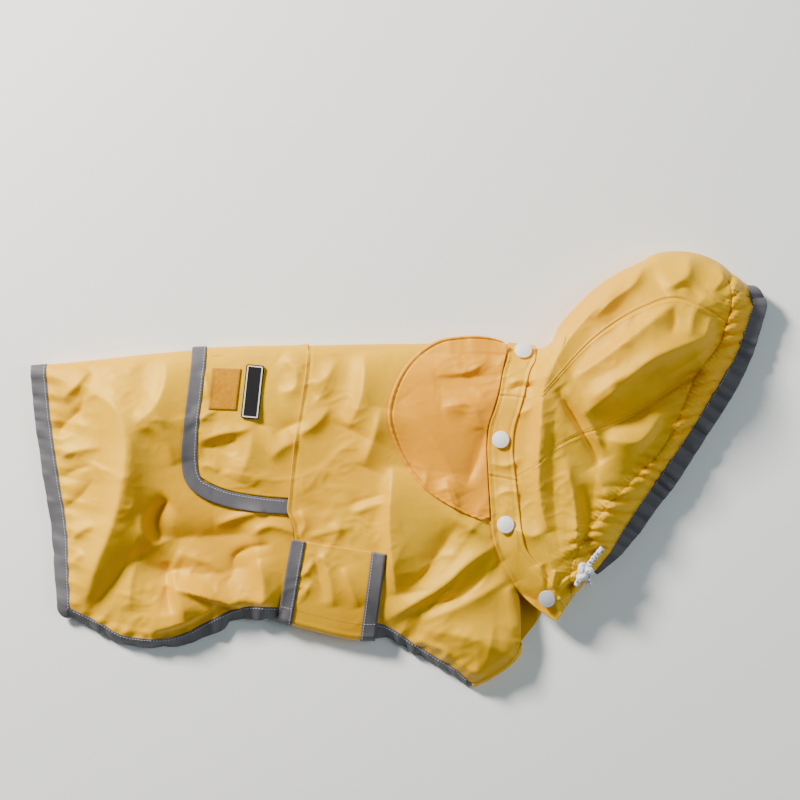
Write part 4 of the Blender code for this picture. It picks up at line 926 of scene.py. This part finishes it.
# ---------------- leash flap
# A half-round flap over the opening for the leash, of a more orange nylon, with a rolled and puckered edge.
orange = nylon("orange_nylon", (0.89, 0.36, 0.0), (0.86, 0.33, 0.0))
LEASH_SIDE = [
    (87.6, 99), (83.4, 79.2), (79.8, 60.4), (75.0, 44), (72.0, 34), (70.6, 21.6), (71.4, -3.2),
    (72.8, -38),
]
LEASH_ROUND = [
    (82, 102.8), (75.2, 104.8), (58.4, 106.4), (46.4, 105.6), (32.8, 103.2), (20.8, 96.8), (7.2, 84),
    (-2.8, 66.4), (-8, 40.8), (-4, 24.8), (2.4, 10.4), (12, -4.8), (26.4, -19.2), (41.6, -28.8), (56, -36),
    (67, -40.2),
]


def leash_place(u, v):
    """u along the flap, v 0 at its straight side to 1 at its round edge."""
    a, b = through(LEASH_SIDE, u)[:, :2], through(LEASH_ROUND, u)[:, :2]
    p = a + (b - a) * v[:, None]
    edge = np.linalg.norm(b - a, axis=1) * (1 - v)
    z = height(p[:, 0], np.minimum(p[:, 1], top_of(p[:, 0]) - FOLD)) + OVER
    calm = 0.45 * within(edge / 20)
    z = np.maximum(z, z * (1 - calm) + calm * 24.0)
    wave = np.sin(u * 250 + 2 * np.sin(u * 31)) * (0.6 + 0.4 * np.sin(u * 47))
    roll = 0.9 * bell(edge - 1.3, 1.3) - 0.5 * bell(edge - 3.6, 0.8)
    return raised(p, z + roll + 0.35 * wave * np.exp(-edge / 4))


leash = cloth("half_round_flap", 190, stations((0, 0.9, 60), (0.9, 1, 16)), leash_place, "leash_flap",
              "orange_nylon", orange)

# ---------------- neck band
# A plain band of the yellow nylon at the foot of the hood. The snaps go through it.
BAND_OVER = OVER + 1.0
BAND = [
    (126.4, 216.0, 134.0, 204.5), (117.6, 210.8, 126.6, 192.0), (106.4, 203.7, 118.0, 179.0),
    (95.2, 193.9, 110.6, 171.0), (88.8, 183.2, 105.0, 165.0), (81.6, 170.4, 100.9, 158.5),
    (76.5, 157.0, 98.4, 149.0), (73.6, 128, 96.0, 130), (72.0, 103.2, 93.3, 106),
    (71.2, 78.4, 91.0, 80), (73.0, 63.5, 92.6, 64), (77.0, 52.0, 95.8, 53),
    (80.5, 39.6, 99.6, 39.6), (84, 20.8, 104.8, 18), (87.8, 8, 109.5, 8), (88.4, 0, 110.1, 0),
    (87.8, -8, 109.8, -8), (86, -50, 107.4, -50), (84, -92, 105.2, -92),
]
BAND_LONG = 320.0
BAND_WIDE = 21
BAND_JOINS = [0.375, 0.582]              # where the band's own lengths are joined, as shares of it
band_lie = strip(BAND, BAND_OVER, WALL / 2)


def band_place(u, v):
    p = band_lie(u, v)
    edge = np.minimum(v, 1 - v) * BAND_WIDE
    p[:, 2] += 0.5 * bell(edge, 1.6) - 0.4 * bell(edge - 3.2, 0.9)
    for join in BAND_JOINS:
        off = (u - join) * BAND_LONG
        p[:, 2] += 0.45 * bell(off - 1.8, 1.3) - 0.5 * bell(off, 0.7)
    return p


band = cloth("band_for_snaps", 420, 24, band_place, "neck_band")
band_parts = [sew(f"neck_band_stitches_{k}", band_place, np.linspace(0.01, 0.66, 300), v)
              for k, v in enumerate([0.15, 0.86], 1)]
band_parts += [sew(f"neck_band_join_stitches_{k}", band_place, join + 0.007, np.linspace(0.04, 0.96, 20))
               for k, join in enumerate(BAND_JOINS, 1)]

# ---------------- belly strap
# A strap under the belly, bound at its two ends, turned under the coat. A row of stitches crosses it
# near the turn.
STRAP_END = [(-84.8, -56), (-9.6, -67.2)]
STRAP_TURN = [
    (-96.8, -122.4), (-85.6, -125.6), (-65.6, -130.8), (-50.4, -134.6), (-36.8, -137.2), (-18.4, -137.6),
]
STRAP_ROOT = [(-92, -25.2), (-80, -18.4), (-42, -7.4), (-14, 2.2)]
STRAP_FOLD = 6.0


def strap_place(half, over):
    """Cloth of the strap, half its thickness above the floor below and over the coat above."""
    def place(c, r):
        """c: share across the strap; r 0 to 2 up the near side from the turn, 0 to -2 up the far side."""
        turn, end, root = (through(k, c)[:, :2] for k in (STRAP_TURN, STRAP_END, STRAP_ROOT))
        reach = np.where(r[:, None] >= 0, end, root) - turn
        long, toward = np.linalg.norm(reach, axis=1), unit(reach)
        out = STRAP_FOLD * within(np.abs(r)) + (long - STRAP_FOLD) * within(np.abs(r) - 1)
        high = on_top(turn + unit(end - turn) * STRAP_FOLD, over)[:, 2]
        a = np.clip(np.sign(r) * out / STRAP_FOLD, -1, 1) * np.pi / 2
        q = turn + toward * np.where(out >= STRAP_FOLD, out, STRAP_FOLD * (1 - np.cos(a)))[:, None]
        z = np.where((r > 0) & (out > STRAP_FOLD), height(q[:, 0], q[:, 1]) + over, arc(half, high, a))
        return raised(q, z)
    return place


STRAP_ROWS = stations((-2, -1, 40), (-1, 1, 20), (1, 2, 50))
STRAP_ROW = 1.12                         # where the stitches cross it, in strap_place's r
strap_lie = strap_place(WALL / 2, OVER)
strap = cloth("belly_strap", np.linspace(0.13, 0.87, 50), STRAP_ROWS, strap_lie, "strap")
strap_tape = strap_place(TAPE / 2, OVER + 0.6)
strap_parts = []
for side, c0, c1, line in [("rear", 0.0, 0.15, 0.125), ("front", 0.85, 1.0, 0.87)]:
    strap_parts += [cloth(f"strap_tape_{side}", np.linspace(c0, c1, 7), STRAP_ROWS, strap_tape,
                          f"strap_binding_{side}", "grey_binding", grey, TAPE),
                    tape_stitches(f"strap_tape_{side}_stitches", strap_tape, line, np.linspace(0, 2, 90)),
                    tape_stitches(f"strap_tape_{side}_crossing", strap_tape,
                                  np.linspace(c0 + 0.01, c1 - 0.01, 12), STRAP_ROW)]
strap_parts.append(sew("strap_stitches", strap_lie, np.linspace(0.16, 0.84, 60), STRAP_ROW))

# ---------------- hood
# Three cuts of the yellow nylon: two sides and a centre strip between two seams. The far side is rolled
# over the top and comes back underneath. They start under the neck band and end in gathers at the
# drawcord's channel.
HOOD_FOLD = [
    (107.5, 95.0, 270), (116.5, 95.2, 283), (124.8, 101.1, 320), (130.6, 113.5, 330), (142.1, 126.9, 315),
    (159, 143.4, 312), (178.5, 156.4, 300), (195.3, 164.3, 296), (206.8, 170.6, 285), (217.1, 172.5, 272),
    (233.6, 172, 262), (244, 169.7, 250), (257.4, 163.1, 238), (268.8, 152.8, 234),
]
FAR_SEAM = [
    (96.9, 53.0), (111.2, 58.5), (122, 70), (163.2, 110.6), (193.6, 128.6), (216.8, 135.8), (241.6, 128.2),
    (263.4, 116.2),
]
NEAR_SEAM = [
    (92.6, -6.0), (108, 3), (122, 16), (142.4, 27.2), (158.4, 32.4), (188.8, 45.2), (215.2, 61.6),
    (241.2, 77.5),
]
HOOD_NECK_UP = [(96.9, 53.0), (101.6, 74), (105.5, 87.0)]
HOOD_NECK_MID = [(92.6, -6.0), (89.6, 12), (89.6, 28), (92.2, 42), (96.9, 53.0)]
HOOD_NECK_LOW = [
    (134.8, -109.8), (124.4, -97.4), (115.6, -83.6), (108.2, -74.8), (102.6, -68.4), (98.6, -60.4),
    (96.1, -49.4), (94.4, -30), (92.2, -10), (92.6, -6.0),
]
HOOD_FAR_END = [(106.6, 6.0), (130, 5), (165, 5), (197, 7)]
GATHER_UP = [(263.4, 116.2), (267.6, 127), (268.8, 138), (267.4, 145)]
GATHER_MID = [(241.2, 77.5), (248, 86), (257.5, 98), (263.4, 116.2)]
GATHER_LOW = [
    (139.4, -103.2), (139, -91), (140, -78), (151, -54), (166, -33), (190, -8), (208, 10), (222, 32),
    (231, 54.5), (241.2, 77.5),
]
HOOD_CORNER = [(134.8, -109.8), (136.6, -106), (138.4, -102.2)]
FAR_WIDE, NEAR_WIDE = 40, 130            # across the two side panels


def lay_hood(ridge, s, over=OVER):
    """Hood cloth at distance s from its ridge, whose rows are x, y and inward angle."""
    a = np.clip(s / FOLD, -1, 1) * np.pi / 2
    high = on_top(inward(ridge, (FOLD * (1 - np.cos(np.maximum(a, 0))))[:, None]), over)[:, 2]
    plan = inward(ridge, (FOLD * (1 - np.cos(a)) - over * np.cos(a))[:, None])
    return raised(plan, arc(WALL / 2, high, a))


def floored(start, end, v):
    """v 2 to 3 along the floor from start to end."""
    return raised(start + (end - start) * within(v - 2)[:, None], WALL / 2)


def seam_dip(z, d, u, deep):
    """A seam: the cloth stands proud beside it and dips into it. d is the distance from it."""
    return z + deep * within((u - 0.05) / 0.06) * (0.4 * bell(d - 2.4, 1.6) - 0.8 * bell(d, 0.8))


def tucked(p, u):
    """The end of a panel passes under the channel's gathered edge."""
    p[:, 2] -= 1.5 * within((u - 0.965) / 0.02)
    return p


def far_panel(u, v):
    inner, up = inward(HOOD_FOLD, FOLD), within(v)
    near = on_top(coons(HOOD_NECK_UP, GATHER_UP, FAR_SEAM, inner, u, up), OVER)
    near[:, 2] = seam_dip(near[:, 2], up * FAR_WIDE, u, 0.8)
    turn = lay_hood(through(HOOD_FOLD, u), from_fold(v))
    low = floored(through(inner, u), through(HOOD_FAR_END, u), v)
    return by_leg(v, tucked(near, u), turn, low)


def centre_panel(u, v):
    p = on_top(coons(HOOD_NECK_MID, GATHER_MID, NEAR_SEAM, FAR_SEAM, u, v), OVER)
    wide = 55 + 10 * np.sin(np.pi * u)
    p[:, 2] = seam_dip(seam_dip(p[:, 2], v * wide, u, 0.35), (1 - v) * wide, u, 0.8)
    return tucked(p, u)


def near_panel(u, v):
    p = on_top(coons(HOOD_NECK_LOW, GATHER_LOW, HOOD_CORNER, NEAR_SEAM, u, v), OVER)
    p[:, 2] = seam_dip(p[:, 2], (1 - v) * NEAR_WIDE, u, 0.35)
    return tucked(p, u)


HOOD_US = stations((0, 0.85, 92), (0.85, 1, 26))
SEAM_ROWS = np.array([0, 0.012, 0.024, 0.04, 0.055, 0.075])
far_rows = np.append(SEAM_ROWS, stations((0.1, 1, 30), (1, 2, 14), (2, 3, 40)))
mid_rows = np.concatenate([SEAM_ROWS, np.linspace(0.1, 0.9, 34), 1 - SEAM_ROWS[::-1]])
near_rows = np.append(np.linspace(0, 0.96, 110), [0.97, 0.976, 0.981, 0.985, 0.989, 0.993, 0.997, 1])
hood_far = cloth("hood_far_side", HOOD_US, far_rows, far_panel, "hood_side_far")
hood_mid = cloth("hood_centre_strip", HOOD_US, mid_rows, centre_panel, "hood_centre")
hood_near = cloth("hood_near_side", HOOD_US, near_rows, near_panel, "hood_side_near")
hood_seams = [sew(name, place, np.linspace(0.09, 0.96, 300), v) for name, place, v in [
    ("far_seam_stitches_1", far_panel, 0.06), ("far_seam_stitches_2", centre_panel, 0.955),
    ("near_seam_stitches_1", centre_panel, 0.045), ("near_seam_stitches_2", near_panel, 0.982)]]

# ---------------- drawcord channel
# The hood's front edge is turned back into a channel for the drawcord, and gathered on it.
CHANNEL = [
    (139.0, -102.8, 150, -90.4), (136.9, -90, 156, -83.4), (137.9, -76, 167.6, -69),
    (148.9, -52.6, 180.6, -48), (163.8, -31.6, 196, -25), (187.8, -6.8, 213, -2), (206, 11.4, 226, 18),
    (220, 33.6, 237.6, 36), (229, 55.6, 247, 50), (239.0, 78.6, 261, 73), (255.3, 98.6, 272.6, 96),
    (262.2, 117, 280, 117), (265.6, 128, 284.8, 131), (267.0, 142, 283.0, 136.4),
]
CHANNEL_FOLD = [(268.2, 153.2, 235), (275.2, 148.3, 255), (281.9, 144.3, 278)]
CHANNEL_FAR = [(198, 7), (206, 4), (213, 1)]
CHANNEL_WIDE, CHANNEL_LONG = 33, 430
BUTTONHOLE = (0.63, 0.128)               # its middle, as shares across and along the channel


def channel_place(u, v):
    """u across the channel; v 0 to 1 on the upper layer, 1 to 2 round the ridge, 2 to 3 on the floor."""
    row, fold = through(CHANNEL, within(v)), through(CHANNEL_FOLD, u)
    inner = inward(fold, FOLD)
    p = row[:, :2] + (row[:, 2:] - row[:, :2]) * (u * 1.02 - 0.02)[:, None]
    ease = within((v - 0.93) / 0.07)
    near = on_top(p + (inner - p) * ease[:, None]**2, OVER)
    swell = 2.8 * np.sin(np.pi * within(u)) ** 0.7 - 0.5 * bell(u - 0.08, 0.05) - 0.9 * bell(u, 0.025)
    near[:, 2] += swell * (1 - ease**2) + 0.3 + 0.3 * ease
    turn = lay_hood(fold, from_fold(v), OVER + 0.6 * within(4 - 2 * v))
    return by_leg(v, near, turn, floored(inner, through(CHANNEL_FAR, u), v))


def buttonhole_place(u, v):
    """Round the drawcord's buttonhole: u once round it, v out from its middle in millimetres."""
    turn = 2 * np.pi * u
    return channel_place(BUTTONHOLE[0] + v * np.cos(turn) / CHANNEL_WIDE,
                         BUTTONHOLE[1] + 1.5 * v * np.sin(turn) / CHANNEL_LONG)


channel = cloth("drawcord_channel", 20, stations((0, 1, 420), (1, 2, 14), (2, 3, 30)), channel_place,
                "hood_casing")
channel_parts = [sew("channel_stitches", channel_place, 0.08, np.linspace(0.01, 0.98, 500)),
                 sew("buttonhole_stitches", buttonhole_place, np.linspace(0, 1, 60), 2.9, 0.35, length=1.0,
                     pitch=0.8, radius=0.42)]


def front_rim(t):
    """The tape lies flat and square to the channel's edge, and turns with it at the ridge."""
    one = np.ones(len(t))
    p, q = channel_place(one, t), channel_place(one * 0.8, t)
    level = np.convolve(np.pad(p[:, 2], 12, mode="edge"), np.full(25, 1 / 25), "valid")
    p[:, 2] = np.where(t < 0.93, 0.35 * p[:, 2] + 0.65 * np.interp(t, t, level), p[:, 2])
    ahead = channel_place(one, t + 0.012) - channel_place(one, t - 0.012)
    square = np.stack([ahead[:, 1], -ahead[:, 0], 0 * t], -1)
    own = unit((p - q) * [1, 1, 0])
    own += ([0.998, -0.05, 0] - own) * within((2.3 - t) / 0.3)[:, None]
    return p, turning(p, square, own, within((t - 0.9) / 0.1))


front_tape = edge_tape(front_rim, [
    (0.05, 3, 1), (0.12, 9, 2), (0.2, 12.5, 2), (0.35, 13.6, 2), (0.75, 13.2, 2), (0.9, 11.8, 2),
    (0.95, 10.6, 1.5), (0.97, 10.3, 1.3), (1, 10.8, 1), (1.13, 9.7, 0.5), (1.22, 8.4, 0.3), (1.3, 6.9, 0),
    (1.39, 4.9, 0), (1.5, 3.2, 0), (1.61, 4.9, 0), (1.7, 6.9, 0), (1.87, 9.7, 0), (2, 10.3, 0), (3, 11, 0)])
channel_parts += bind("hood_front", "hood_binding", front_tape,
                      stations((0.05, 1, 240), (1, 2, 24), (2, 3, 40)), 0.12, (0.06, 0.99, 400))

# ---------------- snaps
# Pressed caps with a white enamel, one every 70 mm or so along the neck band, set a little into the cloth.
# Their places: x and distance from the top fold.
SNAPS = [(100.0, 5.5), (81.6, 75.2), (85.6, 142.4), (118.9, 197.3)]
SNAP_SINK = 1.6                          # from the middle of the cap's solid down to its foot
CAP = [(0, 2.75), (2.2, 2.65), (4.2, 2.3), (5.3, 1.9), (5.7, 1.75), (6.1, 1.85), (6.55, 1.6), (6.85, 1.0),
       (6.9, 0.5), (6.6, 0.1), (0, 0)]   # radius and height of its profile
enamel, node, feed = new_finish("white_enamel", (0.90, 0.89, 0.91), 0.28)
dust = node("TexNoise", "Object", Scale=220.0, Detail=4.0)
feed("Roughness", node("MapRange", dust, From_Min=0.3, From_Max=0.7, To_Min=0.22, To_Max=0.36))
# The lowest cap, by the hood's corner, takes a grey copy of the white enamel: painted shade, for the shade it
# lies in.
shaded_enamel, *_ = new_finish("enamel_in_painted_shade", (0.47, 0.46, 0.50), 0.34)
for number, (x, s) in enumerate(SNAPS, 1):
    bpy.ops.object.select_all(action="DESELECT")
    profile = bpy.data.meshes.new(f"snap_cap_{number}")
    profile.from_pydata([(r * MM, 0, z * MM) for r, z in CAP], [(i, i + 1) for i in range(len(CAP) - 1)], [])
    cap = bpy.data.objects.new(profile.name, profile)
    bpy.context.scene.collection.objects.link(cap)
    bpy.context.view_layer.objects.active = cap
    cap.select_set(True)
    bpy.ops.object.modifier_add(type="SCREW")
    turned = cap.modifiers[-1]
    turned.steps = turned.render_steps = 48
    turned.use_merge_vertices = True
    turned.merge_threshold = 0.00001
    bpy.ops.object.modifier_apply(modifier=turned.name)
    here = lay(np.array([x, x + 2, x - 2, x, x]), np.array([s, s, s, s + 2, s - 2]), BAND_OVER)
    up = np.cross(here[1] - here[2], here[4] - here[3])
    up = up / np.linalg.norm(up) * 0.55 + np.array([0, 0, 0.45])
    up /= np.linalg.norm(up)
    cap.rotation_euler = (-np.arcsin(up[1]), np.arctan2(up[0], up[2]), 0)
    low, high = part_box(f"snap_{number}")
    cap.location = (low + high) / 2 - cap.rotation_euler.to_matrix() @ Vector((0, 0, SNAP_SINK * MM))
    bpy.ops.object.transform_apply(location=True, rotation=True, scale=True)
    # caps 1 to 3 are white enamel; the fourth takes the grey copy, which is painted shade
    cap.data.materials.append(enamel if number < 4 else shaded_enamel)
    cap.data.shade_smooth()
    band_parts.append(dress(cap, "snap_cap", f"snap_{number}"))

# ---------------- floor and light
# A pale floor, a large soft light from above the back with a weak one against it, and an even sky.
bpy.ops.object.select_all(action="DESELECT")
bpy.ops.mesh.primitive_plane_add(size=8, location=(0, 0, -0.0003))
floor = bpy.context.object
floor.name = "floor"
floor.data.materials.append(new_finish("pale_floor", (0.99, 0.99, 0.99), 0.9)[0])
for name, place, power, size, color in [("key", (-1.28, 1.28, 1.02), 114, 0.4, (1.0, 0.955, 0.86)),
                                        ("fill", (1.25, 0.1, 1.25), 9, 1.0, (0.84, 0.98, 1.0))]:
    bpy.ops.object.light_add(type="AREA", location=place)
    lamp = bpy.context.object
    lamp.name = name
    lamp.data.energy = power
    lamp.data.size = size
    lamp.data.color = color
    lamp.rotation_euler = (-lamp.location).to_track_quat("-Z", "Y").to_euler()
sky = bpy.data.worlds.new("sky")
sky.use_nodes = True
sky.node_tree.nodes["Background"].inputs["Color"].default_value = (0.82, 0.96, 1.0, 1)
sky.node_tree.nodes["Background"].inputs["Strength"].default_value = 0.16
bpy.context.scene.world = sky
